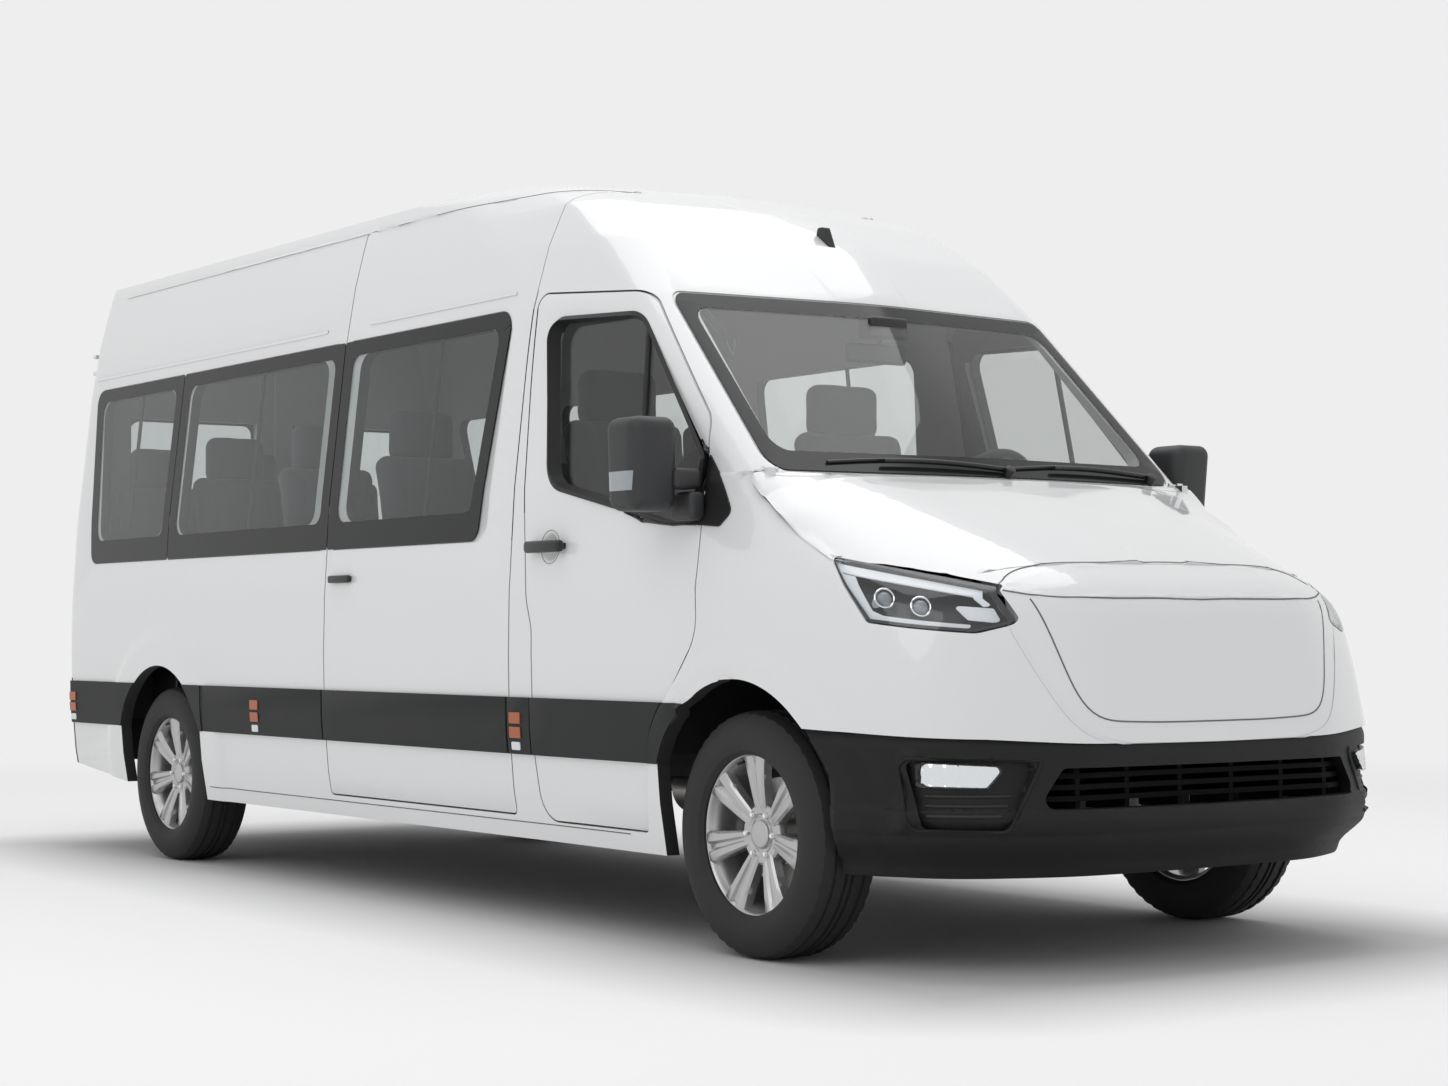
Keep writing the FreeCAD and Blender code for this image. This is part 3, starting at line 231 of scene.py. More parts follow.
def ring_bar(bm, points, radius, steps=8, closed=False):
    """Round bar along 3-D points."""
    rings = []
    count = len(points)
    for i, point in enumerate(points):
        before = points[i - 1] if (i or closed) else points[i]
        after = points[(i + 1) % count] if (i < count - 1 or closed) else points[i]
        along = (Vector(after) - Vector(before)).normalized()
        turn = along.to_track_quat("Z", "Y").to_matrix().to_4x4()
        place = Matrix.Translation(Vector(point)) @ turn
        rings.append(bmesh.ops.create_circle(bm, segments=steps, radius=radius, matrix=place)["verts"])
    pairs = list(zip(rings, rings[1:])) + ([(rings[-1], rings[0])] if closed else [])
    for a, b in pairs:
        edges = [e for v in a + b for e in v.link_edges if e.other_vert(v) in (a if v in a else b)]
        bmesh.ops.bridge_loops(bm, edges=list(set(edges)))
    if not closed:
        for ring in (rings[0], rings[-1]):
            rim = [e for e in {e for v in ring for e in v.link_edges} if all(v in ring for v in e.verts)]
            bmesh.ops.contextual_create(bm, geom=rim)
    faced_out(bm)


def block(bm, low, high, bevel=0.0, segments=3):
    """Box between two corners with rounded edges."""
    low, high = Vector(low), Vector(high)
    verts = bmesh.ops.create_cube(bm, size=1.0)["verts"]
    bmesh.ops.scale(bm, vec=high - low, verts=verts)
    bmesh.ops.translate(bm, vec=(low + high) / 2, verts=verts)
    if bevel:
        edges = list({e for v in verts for e in v.link_edges})
        bmesh.ops.bevel(bm, geom=edges, offset=bevel, segments=segments, profile=0.5, affect="EDGES",
                        material=-1, clamp_overlap=True)


def drum(bm, centre, axis, radius, length, steps=32, bevel=0.0):
    """Cylinder round a centre, along an axis, with softened rims."""
    turn = Vector(axis).to_track_quat("Z", "Y").to_matrix().to_4x4()
    place = Matrix.Translation(Vector(centre)) @ turn
    verts = bmesh.ops.create_cone(bm, cap_ends=True, segments=steps, radius1=radius, radius2=radius,
                                  depth=length, matrix=place)["verts"]
    if bevel:
        edges = {e for v in verts for e in v.link_edges}
        rims = [e for e in edges if any(len(f.verts) > 4 for f in e.link_faces)]
        bmesh.ops.bevel(bm, geom=rims, offset=bevel, segments=2, profile=0.5, affect="EDGES", material=-1)


def turned(profile, centre, steps=48):
    """Solid of revolution about Y through a centre: profile is a closed list of (y, radius)."""
    bm = bmesh.new()
    loop_edges(bm, [Vector((r, y, 0)) for y, r in profile])
    bmesh.ops.spin(bm, geom=bm.verts[:] + bm.edges[:], cent=(0, 0, 0), axis=(0, 1, 0), angle=math.tau,
                   steps=steps, use_merge=True)
    bmesh.ops.remove_doubles(bm, verts=bm.verts, dist=SAME_SPOT)
    faced_out(bm)
    bmesh.ops.translate(bm, vec=centre, verts=bm.verts)
    return bm


def moved_in(bm, other):
    """Move another mesh into this one and free it."""
    merged_in(bm, other)
    other.free()


def mirrored(bm):
    """The same mesh on the other side of the vehicle."""
    other = bm.copy()
    for vert in other.verts:
        vert.co.y = -vert.co.y
    bmesh.ops.reverse_faces(other, faces=other.faces)
    return other


def merged_in(bm, other):
    """Add a copy of another mesh to this one."""
    data = bpy.data.meshes.new("scratch")
    other.to_mesh(data)
    bm.from_mesh(data)
    bpy.data.meshes.remove(data)


def piece(name, bm, looks, body, stands_for=(), angle=35.0, bevel=0.0):
    """Make the finished piece: its finishes, smooth shading, the body it rides on and its CAD nodes."""
    data = bpy.data.meshes.new(name)
    bm.to_mesh(data)
    bm.free()
    obj = bpy.data.objects.new(name, data)
    bpy.context.scene.collection.objects.link(obj)
    for look in [looks] if isinstance(looks, str) else looks:
        data.materials.append(MATERIALS[look])
    data.shade_smooth()
    data.set_sharp_from_angle(angle=math.radians(angle))
    if bevel:
        rim = obj.modifiers.new("edges", "BEVEL")
        rim.width = bevel
        rim.segments = 2
        rim.limit_method = "ANGLE"
        rim.angle_limit = EDGE_ANGLE
        rim.use_clamp_overlap = True
    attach(obj, body)
    if stands_for:
        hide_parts(*stands_for)
    return obj


def trim(name, bm, look, body="van", stands_for=(), angle=40.0, bevel=0.0):
    """Finished piece in one of the dark finishes."""
    piece(name, bm, look, body, stands_for, angle, bevel)


def merged_copy(node):
    """A CAD node's mesh with its loose triangles joined."""
    bm = bmesh.new()
    bm.from_mesh(NODES[node].data)
    bmesh.ops.remove_doubles(bm, verts=bm.verts, dist=CAD_JOIN)
    bmesh.ops.dissolve_degenerate(bm, edges=bm.edges, dist=CAD_SLIVER)
    return bm


# ---- outlines ----
SMALLEST_CORNER = 0.004
SHARPEST = 0.5  # keeps the corner of an inset outline from running away


def inset(points, amount):
    """The same outline drawn smaller on every side; corner radii shrink with it."""
    count = len(points)
    area = sum(points[i - 1][0] * points[i][1] - points[i][0] * points[i - 1][1] for i in range(count))
    turn = 1 if area > 0 else -1
    made = []
    for i in range(count):
        before, here, after = [Vector(points[k % count][:2]) for k in (i - 1, i, i + 1)]
        u, w = (here - before).normalized(), (after - here).normalized()
        n1, n2 = Vector((-u.y, u.x)) * turn, Vector((-w.y, w.x)) * turn
        shift = (n1 + n2) * (amount / max(1 + n1.dot(n2), SHARPEST))
        made.append((here.x + shift.x, here.y + shift.y, max(points[i][2] - amount, SMALLEST_CORNER)))
    return made


def side_place(side):
    """Turns a side view's (x, z) into a point beside the vehicle."""
    return lambda x, z: Vector((ax(x), side * WIDEST, z))


def front_place(y, z):
    """Turns a front view's (y, z) into a point ahead of the vehicle."""
    return Vector((ax(1.2), y, z))


def on_side(tree, side, x, z, lift=0.0):
    """Point of a side's surface at a place of the side view."""
    return on_surface(tree, side_place(side)(x, z), (0, -side, 0), lift)


def on_front(tree, y, z, lift=0.0):
    """Point of a front surface at a place of the front view."""
    return on_surface(tree, front_place(y, z), (-1, 0, 0), lift)


def draped(bm, tree, direction, lift, thickness, cell):
    """Lay a flat sheet on a surface and give it its thickness."""
    for axis in range(3):
        if abs(direction[axis]) < 0.5:
            gridded(bm, axis, cell)
    dropped(bm, tree, direction, lift)
    thicken(bm, thickness, -Vector(direction))


def patch(tree, loops, place, direction, lift, thickness, cell=0.06):
    """Thin piece that lies on a surface between an outline and its holes."""
    bm = bmesh.new()
    filled(bm, [[place(p[0], p[1]) for p in loop] for loop in loops])
    draped(bm, tree, direction, lift, thickness, cell)
    return bm


PARALLEL, EDGE_SLACK = 1e-9, 1e-6  # tolerances where a ray crosses an edge


def spoked(outlines, centre):
    """Points of each outline at every corner's heading from a centre, so that the outlines match."""
    def heading(p):
        return math.atan2(p[1] - centre[1], p[0] - centre[0])

    turns = sorted({round(heading(p), 4) for outline in outlines for p in outline})
    made = []
    for outline in outlines:
        points = []
        for turn in turns:
            ray = Vector((math.cos(turn), math.sin(turn)))
            best = 0.0
            for p, q in zip(outline, list(outline[1:]) + [outline[0]]):
                a, along = Vector(p[:2]) - Vector(centre), Vector(q[:2]) - Vector(p[:2])
                cross = ray.cross(along)
                if abs(cross) > PARALLEL:
                    share, reach = a.cross(ray) / cross, a.cross(along) / cross
                    if -EDGE_SLACK <= share <= 1 + EDGE_SLACK:
                        best = max(best, reach)
            points.append((centre[0] + ray.x * best, centre[1] + ray.y * best))
        made.append(points)
    return made


def glazed_patch(tree, outline, clear, place, direction, thickness, cell=0.06, lift=0.0):
    """Pane with a black border: material 0 is the clear part, 1 the border."""
    centre = [sum(p[i] for p in clear) / len(clear) for i in (0, 1)]
    outer, inner = spoked((outline, clear), centre)
    bm = bmesh.new()
    rows = [[bm.verts.new(place(*p)) for p in loop] for loop in (outer, inner)]
    for i in range(len(outer)):
        face = bm.faces.new((rows[0][i - 1], rows[0][i], rows[1][i], rows[1][i - 1]))
        face.material_index = 1
    bmesh.ops.triangle_fill(bm, use_beauty=True,
                            edges=[bm.edges.get((rows[1][i - 1], rows[1][i])) for i in range(len(inner))])
    draped(bm, tree, direction, lift, thickness, cell)
    return bm


def bridged(bm, first, second):
    """Faces between two closed loops of as many points."""
    edges = loop_edges(bm, first) + loop_edges(bm, second)
    bmesh.ops.bridge_loops(bm, edges=edges)


def on_surface(tree, point, direction, lift=0.0):
    """Where a ray meets a surface, off it by the lift; past its edge, the depth of the nearest point."""
    direction = Vector(direction).normalized()
    point = Vector(point)
    hit = tree.ray_cast(point - direction * RAY_START, direction)[0]
    if hit is None:
        hit = point + direction * (tree.find_nearest(point)[0] - point).dot(direction)
    return hit - direction * lift


def cut_cells(bm, cell, low, high):
    """Cut the faces inside a box along every axis, so that they can be bent there."""
    low, high = Vector(low), Vector(high)

    def crosses(face):
        return all(min(v.co[i] for v in face.verts) <= high[i] and max(v.co[i] for v in face.verts) >= low[i]
                   for i in range(3))

    def top(item, axis):
        corners = [item] if isinstance(item, bmesh.types.BMVert) else item.verts
        return max(v.co[axis] for v in corners)

    for axis in range(3):
        normal = along_axis(axis)
        inside = [f for f in bm.faces if crosses(f)]
        if not inside:
            continue
        values = [v.co[axis] for f in inside for v in f.verts]
        start, end = max(low[axis], min(values)), min(high[axis], max(values))
        edges = list({e for f in inside for e in f.edges})
        geom = list({v for f in inside for v in f.verts}) + edges + inside
        for k in range(int(math.ceil(start / cell)), int(end / cell) + 1):
            cut = bmesh.ops.bisect_plane(bm, geom=geom, dist=SAME_SPOT, plane_co=normal * (k * cell),
                                         plane_no=normal)
            geom = [g for g in cut["geom"] if g.is_valid and top(g, axis) >= k * cell - SAME_SPOT]


def eased(value, low, high):
    """Soft rise from 0 at low to 1 at high."""
    t = min(1.0, max(0.0, (value - low) / (high - low)))
    return t * t * (3 - 2 * t)


# ---- smooth surfaces of the front end ----
FILL_ROUNDS = 500
SMOOTH_LIMIT = 0.02  # the smooth skin stays this near the faceted one


def closed_grid(grid, empty):
    """Fill the empty cells from their neighbours, as a stretched skin would."""
    known = ~empty
    grid = np.where(empty, grid[known].mean(), grid)
    for _ in range(FILL_ROUNDS):
        pad = np.pad(grid, 1, mode="edge")
        mean = (pad[:-2, 1:-1] + pad[2:, 1:-1] + pad[1:-1, :-2] + pad[1:-1, 2:]) / 4
        grid = np.where(empty, mean, grid)
    return grid


def without_gaps(grid):
    """Panel gaps are one cell wide pits: close them."""
    for pick in (np.fmax, np.fmin):
        pad = np.pad(grid, 1, mode="edge")
        parts = [pad[i:i + grid.shape[0], j:j + grid.shape[1]] for i in range(3) for j in range(3)]
        out = parts[0]
        for part in parts[1:]:
            out = pick(out, part)
        grid = out
    return grid


def blurred(grid, sigma_a, sigma_b):
    """Gaussian blur along both axes; the grid goes on past its edges with the same slope."""
    for axis, sigma in ((0, sigma_a), (1, sigma_b)):
        reach = int(3 * sigma) + 1
        weights = np.exp(-0.5 * (np.arange(-reach, reach + 1) / sigma) ** 2)
        weights /= weights.sum()
        pads = [(0, 0), (0, 0)]
        pads[axis] = (reach, reach)
        pad = np.pad(grid, pads, mode="reflect", reflect_type="odd")
        grid = sum(w * np.take(pad, range(k, k + grid.shape[axis]), axis=axis) for k, w in enumerate(weights))
    return grid


def way_to_smooth(grid, blur, keep):
    """How far each cell of a measured surface moves to lie on a smooth one, where that is kept."""
    grid = without_gaps(grid)
    full = closed_grid(grid, np.isnan(grid))
    return np.clip((blurred(full, *blur) - full) * keep, -SMOOTH_LIMIT, SMOOTH_LIMIT)


def sampled(grid, a, b):
    """Value between the cells of a grid, held at its edges."""
    a = min(max(a, 0.0), grid.shape[0] - 1.001)
    b = min(max(b, 0.0), grid.shape[1] - 1.001)
    i, j = int(a), int(b)
    s, t = a - i, b - j
    return float((grid[i, j] * (1 - s) + grid[i + 1, j] * s) * (1 - t) +
                 (grid[i, j + 1] * (1 - s) + grid[i + 1, j + 1] * s) * t)


NOSE_HUB = -0.30  # the nose's headings are taken round this station
NOSE_HALF_TURN, NOSE_STEP = 110, 1.0  # degrees
NOSE_LOW, NOSE_RISE, NOSE_ROWS = 0.26, 0.0125, 92
NOSE_OUTSIDE, NOSE_LEAST = 2.6, 0.72  # start of each ray, and the least distance of the nose from the hub
NOSE_BLUR = (3.0, 3.2)  # cells
NOSE_FADE = (88, 100)  # headings over which the smoothing fades out, in degrees
OPENING_LOW, OPENING_HIGH = 0.39, 0.60  # heights between which the bumper has its openings
RECESS_SIDE, RECESS_REAR = (0.60, 0.905), 0.55
INTAKE_HALF = 0.64


def in_opening(spot):
    """Whether a point of the faceted nose lies in the bumper's intake or in a fog lamp's recess."""
    side = abs(spot.y)
    in_recess = RECESS_SIDE[0] < side < RECESS_SIDE[1] and spot.x > ax(RECESS_REAR)
    return OPENING_LOW < spot.z < OPENING_HIGH and (in_recess or side < INTAKE_HALF)


def nose_change():
    """How far the smooth nose lies outside the faceted one, for each heading and height."""
    tree = target(*NOSE_PIECES, "headlamps", "front_bumper", "hood", *CAB_DOORS)
    turns = np.arange(-NOSE_HALF_TURN, NOSE_HALF_TURN + 0.1, NOSE_STEP)
    reach = np.full((len(turns), NOSE_ROWS), np.nan)
    for i, turn in enumerate(turns):
        out = Vector((math.cos(math.radians(turn)), math.sin(math.radians(turn)), 0))
        for j in range(NOSE_ROWS):
            hub = Vector((ax(NOSE_HUB), 0, NOSE_LOW + j * NOSE_RISE))
            hit = tree.ray_cast(hub + out * NOSE_OUTSIDE, -out)[0]
            if hit is not None and (hit - hub).dot(out) > NOSE_LEAST and not in_opening(hit):
                reach[i, j] = (hit - hub).dot(out)
    keep = np.array([1 - eased(abs(t), *NOSE_FADE) for t in turns])[:, None]
    return way_to_smooth(reach, NOSE_BLUR, keep)


HOOD_X0, HOOD_Y0, HOOD_CELL = -0.20, -1.0, 0.02
HOOD_ROWS, HOOD_COLUMNS = 60, 101
ABOVE = 3.0  # rays that look down start at this height
HOOD_LEAST, HOOD_MOST = 0.93, 1.45  # heights that belong to the hood; what stands higher is cut there
HOOD_BLUR = (2.2, 2.6)  # cells
HOOD_FADE = 0.06  # the smoothing starts over this much each side of its rear line
HOOD_REAR_BEND = (0.16, 0.60, 0.75)  # how far that line comes forward, between these distances out


def hood_change():
    """How far the smooth hood lies above the faceted one."""
    tree = target("hood", "nose_panel", "front_wings", "headlamps", "cab_frame", "grille_panel")
    stations = [HOOD_X0 + i * HOOD_CELL for i in range(HOOD_ROWS)]
    across = [HOOD_Y0 + j * HOOD_CELL for j in range(HOOD_COLUMNS)]
    height = np.full((HOOD_ROWS, HOOD_COLUMNS), np.nan)
    for i, x in enumerate(stations):
        for j, y in enumerate(across):
            hit = tree.ray_cast(Vector((ax(x), y, ABOVE)), Vector((0, 0, -1)))[0]
            if hit is not None and hit.z > HOOD_LEAST:
                height[i, j] = min(hit.z, HOOD_MOST)
    forward, inner, outer = HOOD_REAR_BEND
    keep = np.array([[eased(x - forward * eased(abs(y), inner, outer), -HOOD_FADE, HOOD_FADE)
                      for y in across] for x in stations])
    return way_to_smooth(height, HOOD_BLUR, keep)


ARCH_FLARE = 0.012
FLARE_REACH = ((FRONT_AXLE, 0.545), (REAR_AXLE, 0.60))  # each arch's flare ends this far from the axle
FLARE_BAND = 0.05  # over which it dies away
FLARE_SIDE = (0.80, 0.86)  # it grows between these distances from the middle


def flare(point):
    """Outward swelling of the body round a wheel arch."""
    amount = 0.0
    for axle_x, outer in FLARE_REACH:
        distance = math.hypot(point.x - axle_x, point.z - TYRE_RADIUS)
        amount = max(amount, ARCH_FLARE * (1 - eased(distance, outer - FLARE_BAND, outer)))
    return amount * eased(abs(point.y), *FLARE_SIDE)


# the bumper's face from the side, each as a depth and the heights between which it comes in
CHAMFER = (-0.011, 0.610, 0.656)
LEDGE, LEDGE_EASE = (-0.014, 0.444, 0.462), (0.6, 0.53, 0.61)
GROOVE = (-0.006, 0.378, 0.394)
TUCK = (0.050, 0.29, 0.375)
# heights at which its faces are cut, so that these shapes come out clean
BUMPER_CUTS = (0.336, 0.355, 0.378, 0.386, 0.394, 0.444, 0.450, 0.456, 0.462, 0.611, 0.619, 0.627, 0.638,
               0.645)


def bumper_roll(z):
    """Shape of the bumper's face from the side: chamfered top, ledge under the grille, groove and tuck."""
    top = CHAMFER[0] * eased(z, *CHAMFER[1:])
    ledge = LEDGE[0] * eased(z, *LEDGE[1:]) * (1 - LEDGE_EASE[0] * eased(z, *LEDGE_EASE[1:]))
    groove = GROOVE[0] * (1 - eased(z, *GROOVE[1:]))
    return top + ledge + groove - TUCK[0] * (1 - eased(z, *TUCK[1:]))


# ---- material helpers ----
def new_material(name):
    material = bpy.data.materials.new(name)
    material.use_nodes = True
    return material, material.node_tree.nodes, material.node_tree.links


def added(nodes, kind, values=None, **settings):
    """New shader node with its settings and the values of its inputs."""
    node = nodes.new("ShaderNode" + kind)
    for name, value in settings.items():
        setattr(node, name, value)
    filled_in(node, values or {})
    return node


def filled_in(node, values):
    for socket, value in values.items():
        node.inputs[socket].default_value = value


def joined(links, *rows):
    """Links between nodes, each as (from, its output, to, its input)."""
    for source, output, node, socket in rows:
        links.new(source.outputs[output], node.inputs[socket])


def finish(name, colour, roughness, metallic=0.0, coat=0.0, coat_roughness=0.03, vary=0.0, vary_scale=3.0,
           grain=0.0, grain_scale=600.0, rough_vary=0.0, sheen=0.0, specular=0.5, glow=0.0):
    """Surface with a slow shift of colour, a fine grain and uneven gloss, all on Object coordinates."""
    material, nodes, links = new_material(name)
    shader = nodes["Principled BSDF"]
    # glow is emission strength: painted light, as on the headlamp's light guides
    filled_in(shader, {"Metallic": metallic, "Coat Weight": coat, "Coat Roughness": coat_roughness,
                       "Sheen Weight": sheen, "Specular IOR Level": specular, "Roughness": roughness,
                       "Emission Color": (1, 1, 1, 1), "Emission Strength": glow})
    place = added(nodes, "TexCoord")
    cloud = added(nodes, "TexNoise", {"Scale": vary_scale, "Detail": 4.0})
    tint = added(nodes, "Mix", data_type="RGBA")
    dark = [c * (1 - vary) for c in colour]
    light = [min(1.0, c * (1 + vary)) for c in colour]
    filled_in(tint, {"A": (*dark, 1), "B": (*light, 1)})
    joined(links, (place, "Object", cloud, "Vector"), (cloud, "Fac", tint, "Factor"),
           (tint, "Result", shader, "Base Color"))
    if rough_vary:
        span = added(nodes, "MapRange", {"To Min": max(0.0, roughness - rough_vary),
                                         "To Max": min(1.0, roughness + rough_vary)})
        joined(links, (cloud, "Fac", span, "Value"), (span, "Result", shader, "Roughness"))
    if grain:
        fine = added(nodes, "TexNoise", {"Scale": grain_scale, "Detail": 3.0})
        bump = added(nodes, "Bump", {"Strength": grain, "Distance": 0.001})
        joined(links, (place, "Object", fine, "Vector"), (fine, "Fac", bump, "Height"),
               (bump, "Normal", shader, "Normal"))
    return material


def glazing(name, tint, mirror=0.04):
    """Thin glass: what it lets through is tinted, and it mirrors more at a low angle."""
    material, nodes, links = new_material(name)
    nodes.remove(nodes["Principled BSDF"])
    clear = added(nodes, "BsdfTransparent")
    place = added(nodes, "TexCoord")
    cloud = added(nodes, "TexNoise", {"Scale": 2.0})
    shade = added(nodes, "Mix", data_type="RGBA")
    filled_in(shade, {"A": (*[c * 0.97 for c in tint], 1), "B": (*tint, 1)})
    gloss = added(nodes, "BsdfGlossy", {"Roughness": 0.0})
    facing = added(nodes, "LayerWeight", {"Blend": 0.5})
    power = added(nodes, "Math", {1: 5.0}, operation="POWER")
    edge = added(nodes, "Math", {1: 1 - mirror, 2: mirror}, operation="MULTIPLY_ADD")
    mix = added(nodes, "MixShader")
    joined(links, (place, "Object", cloud, "Vector"), (cloud, "Fac", shade, "Factor"),
           (shade, "Result", clear, "Color"), (facing, "Facing", power, 0), (power, "Value", edge, 0),
           (edge, "Value", mix, "Fac"), (clear, "BSDF", mix, 1), (gloss, "BSDF", mix, 2),
           (mix, "Shader", nodes["Material Output"], "Surface"))
    return material


MATERIALS = {}


def finishes(sizes):
    """Every finish on the vehicle, by name."""
    m = MATERIALS
    m["paint"] = finish("body paint", sizes.paint_colour, 0.32, coat=1.0, coat_roughness=0.04, vary=0.006,
                        vary_scale=0.8, grain=0.02, grain_scale=260)
    m["lining"] = finish("cabin lining", (0.47, 0.47, 0.465), 0.75, vary=0.03, grain=0.25, grain_scale=900)
    m["card"] = finish("door card", (0.055, 0.057, 0.06), 0.6, vary=0.05, grain=0.3, grain_scale=900)
    m["bumper"] = finish("bumper plastic", sizes.bumper_colour, 0.55, vary=0.05, vary_scale=5, grain=0.3,
                         grain_scale=1100, rough_vary=0.05, specular=0.24)
    m["joint"] = finish("panel joint", (0.16, 0.16, 0.16), 0.7, vary=0.1, specular=0.1)
    m["slats"] = finish("grille black", (0.004, 0.004, 0.0045), 0.6, vary=0.1, specular=0.08)
    m["frit"] = finish("glass border", (0.016, 0.017, 0.018), 0.12, vary=0.06, rough_vary=0.02, specular=0.22)
    m["lamp bowl"] = finish("lamp bowl", (0.035, 0.036, 0.038), 0.3, vary=0.08)
    m["eye"] = finish("projector lens", (0.30, 0.33, 0.36), 0.03, coat=1.0, vary=0.1, vary_scale=30)
    m["mirror shell"] = finish("mirror shell", (0.028, 0.029, 0.031), 0.5, vary=0.05, grain=0.25,
                               grain_scale=1100)
    m["trim"] = finish("grained trim", sizes.trim_colour, 0.55, vary=0.05, vary_scale=5, grain=0.35,
                       grain_scale=1100, rough_vary=0.05, specular=0.25)
    m["gloss black"] = finish("gloss black", (0.008, 0.008, 0.009), 0.12, vary=0.1, rough_vary=0.02)
    m["seal"] = finish("rubber seal", (0.012, 0.012, 0.013), 0.55, vary=0.1, grain=0.1, grain_scale=1500)
    m["satin black"] = finish("satin black", (0.014, 0.014, 0.015), 0.38, vary=0.1, rough_vary=0.05)
    m["glass"] = glazing("windscreen glass", (0.885, 0.895, 0.89))
    m["dark glass"] = glazing("tinted glass", sizes.glass_tint)
    m["lens"] = glazing("lamp cover", (0.96, 0.97, 0.98))
    m["alloy"] = finish("wheel lacquer", (0.50, 0.50, 0.50), 0.32, metallic=0.8, coat=0.4, coat_roughness=0.1,
                        vary=0.03, rough_vary=0.04)
    m["bright"] = finish("bright reflector", (0.88, 0.89, 0.90), 0.06, metallic=1.0, vary=0.02)
    m["steel"] = finish("machined steel", (0.42, 0.41, 0.40), 0.35, metallic=1.0, vary=0.08, vary_scale=20,
                        rough_vary=0.1)
    m["cast"] = finish("cast iron", (0.10, 0.10, 0.105), 0.6, metallic=0.6, vary=0.25, vary_scale=12,
                       grain=0.4, grain_scale=300)
    m["underbody"] = finish("underbody paint", (0.02, 0.02, 0.021), 0.6, vary=0.3, vary_scale=6, grain=0.3,
                            grain_scale=400)
    m["tyre"] = finish("tyre rubber", (0.018, 0.018, 0.019), 0.72, vary=0.15, vary_scale=9, grain=0.25,
                       grain_scale=700)
    m["amber"] = finish("amber lens", (0.40, 0.085, 0.008), 0.35, coat=0.25, vary=0.06, vary_scale=60)
    m["red"] = finish("red lens", (0.38, 0.012, 0.012), 0.15, coat=0.8, vary=0.08, vary_scale=60)
    m["white lens"] = finish("white lens", (0.75, 0.77, 0.8), 0.2, coat=0.8, vary=0.03)
    # the light guide glows as painted light, so it stays bright in the shade of the lamp's cover
    m["guide"] = finish("light guide", (0.80, 0.82, 0.84), 0.2, coat=0.6, vary=0.05, vary_scale=60, glow=0.16)
    m["fabric"] = finish("seat fabric", (0.075, 0.077, 0.085), 0.85, vary=0.12, vary_scale=40, grain=0.6,
                         grain_scale=1400, sheen=0.3)
    m["floor"] = finish("cabin floor", (0.09, 0.09, 0.095), 0.55, vary=0.15, vary_scale=60, grain=0.2)
    m["mirror"] = finish("mirror", (0.85, 0.87, 0.88), 0.02, metallic=1.0, vary=0.01)


# ---- painted panels ----
def bend(bm, nose):
    """Carry every point of a nose piece by the change from faceted to smooth."""
    for vert in bm.verts:
        out = Vector((vert.co.x - ax(NOSE_HUB), vert.co.y, 0))
        turn = math.degrees(math.atan2(out.y, out.x))
        a = (turn + NOSE_HALF_TURN) / NOSE_STEP
        b = (vert.co.z - NOSE_LOW) / NOSE_RISE
        shift = sampled(nose, a, b) if abs(turn) < NOSE_HALF_TURN else 0.0
        vert.co += out.normalized() * shift


def bend_hood(bm, hood):
    """Lift every point of the hood by the change from faceted to smooth."""
    for vert in bm.verts:
        i = (vert.co.x - FRONT_AXLE - HOOD_X0) / HOOD_CELL
        vert.co.z += sampled(hood, i, (vert.co.y - HOOD_Y0) / HOOD_CELL)


def swell(bm):
    """Flare the wheel arches."""
    for vert in bm.verts:
        side = 1 if vert.co.y > 0 else -1
        vert.co.y += side * flare(vert.co)


ARCH_INSIDE = 0.50  # an arch's edge lies nearer than this to its axle
ARCH_FACING = 0.6  # its faces look at the axle more than this
# the window reveals found within these limits take the black finish as painted shade
OPENING_BAND = (1.25, 1.97)  # heights between which the side window openings are
OPENING_OUT, OPENING_AREA = 0.80, 0.2  # their edges lie this far out, on faces smaller than this
OUTWARD, SIDE_OUTWARD = -0.25, 0.12  # a face is lining when it looks outwards less than this
HUB_END, HUB_Z = 0.9, 1.2  # the cabin's middle line ends this far from its two ends


def arch_lining(bm, index):
    """The wheel side of an arch's edge is black behind a narrow lip."""
    for face in bm.faces:
        spot = face.calc_center_median()
        for axle_x in (FRONT_AXLE, REAR_AXLE):
            inward = Vector((axle_x - spot.x, 0, TYRE_RADIUS - spot.z))
            if inward.length < ARCH_INSIDE and face.normal.dot(inward.normalized()) > ARCH_FACING:
                face.material_index = index


def shaded_window_edges(bm, index):
    """Dark edges round the side window openings: painted shade on the reveals, which the lamps would otherwise
    light through the glass.
    """
    low, high = OPENING_BAND
    for face in bm.faces:
        spot = face.calc_center_median()
        beside = low < spot.z < high and abs(spot.y) > OPENING_OUT
        if beside and abs(face.normal.y) < 0.5 and face.calc_area() < OPENING_AREA:
            face.material_index = index


def body_of():
    """The body that each CAD node rides on."""
    bodies = frame["record"]["behaviour"]["bodies"]
    return {name: body for body, members in bodies.items() for name in members}


def lined(bm, limit=OUTWARD):
    """Material 1 on faces that look into the vehicle."""
    for face in bm.faces:
        spot = face.calc_center_median()
        hub = Vector((min(max(spot.x, REAR_FACE + HUB_END), FRONT_AXLE - HUB_END), 0, HUB_Z))
        face.material_index = 1 if face.normal.dot((spot - hub).normalized()) < limit else 0


HANDLE_X, HANDLE_Z, DOOR_SKIN_Y = -1.010, 1.190, 0.93
DISH_RADIUS, DISH_DEPTH, DISH_FLOOR = 0.052, 0.012, 0.35  # the floor is level up to this share
DISH_MARGIN = 0.06  # the skin is cut fine this far round it


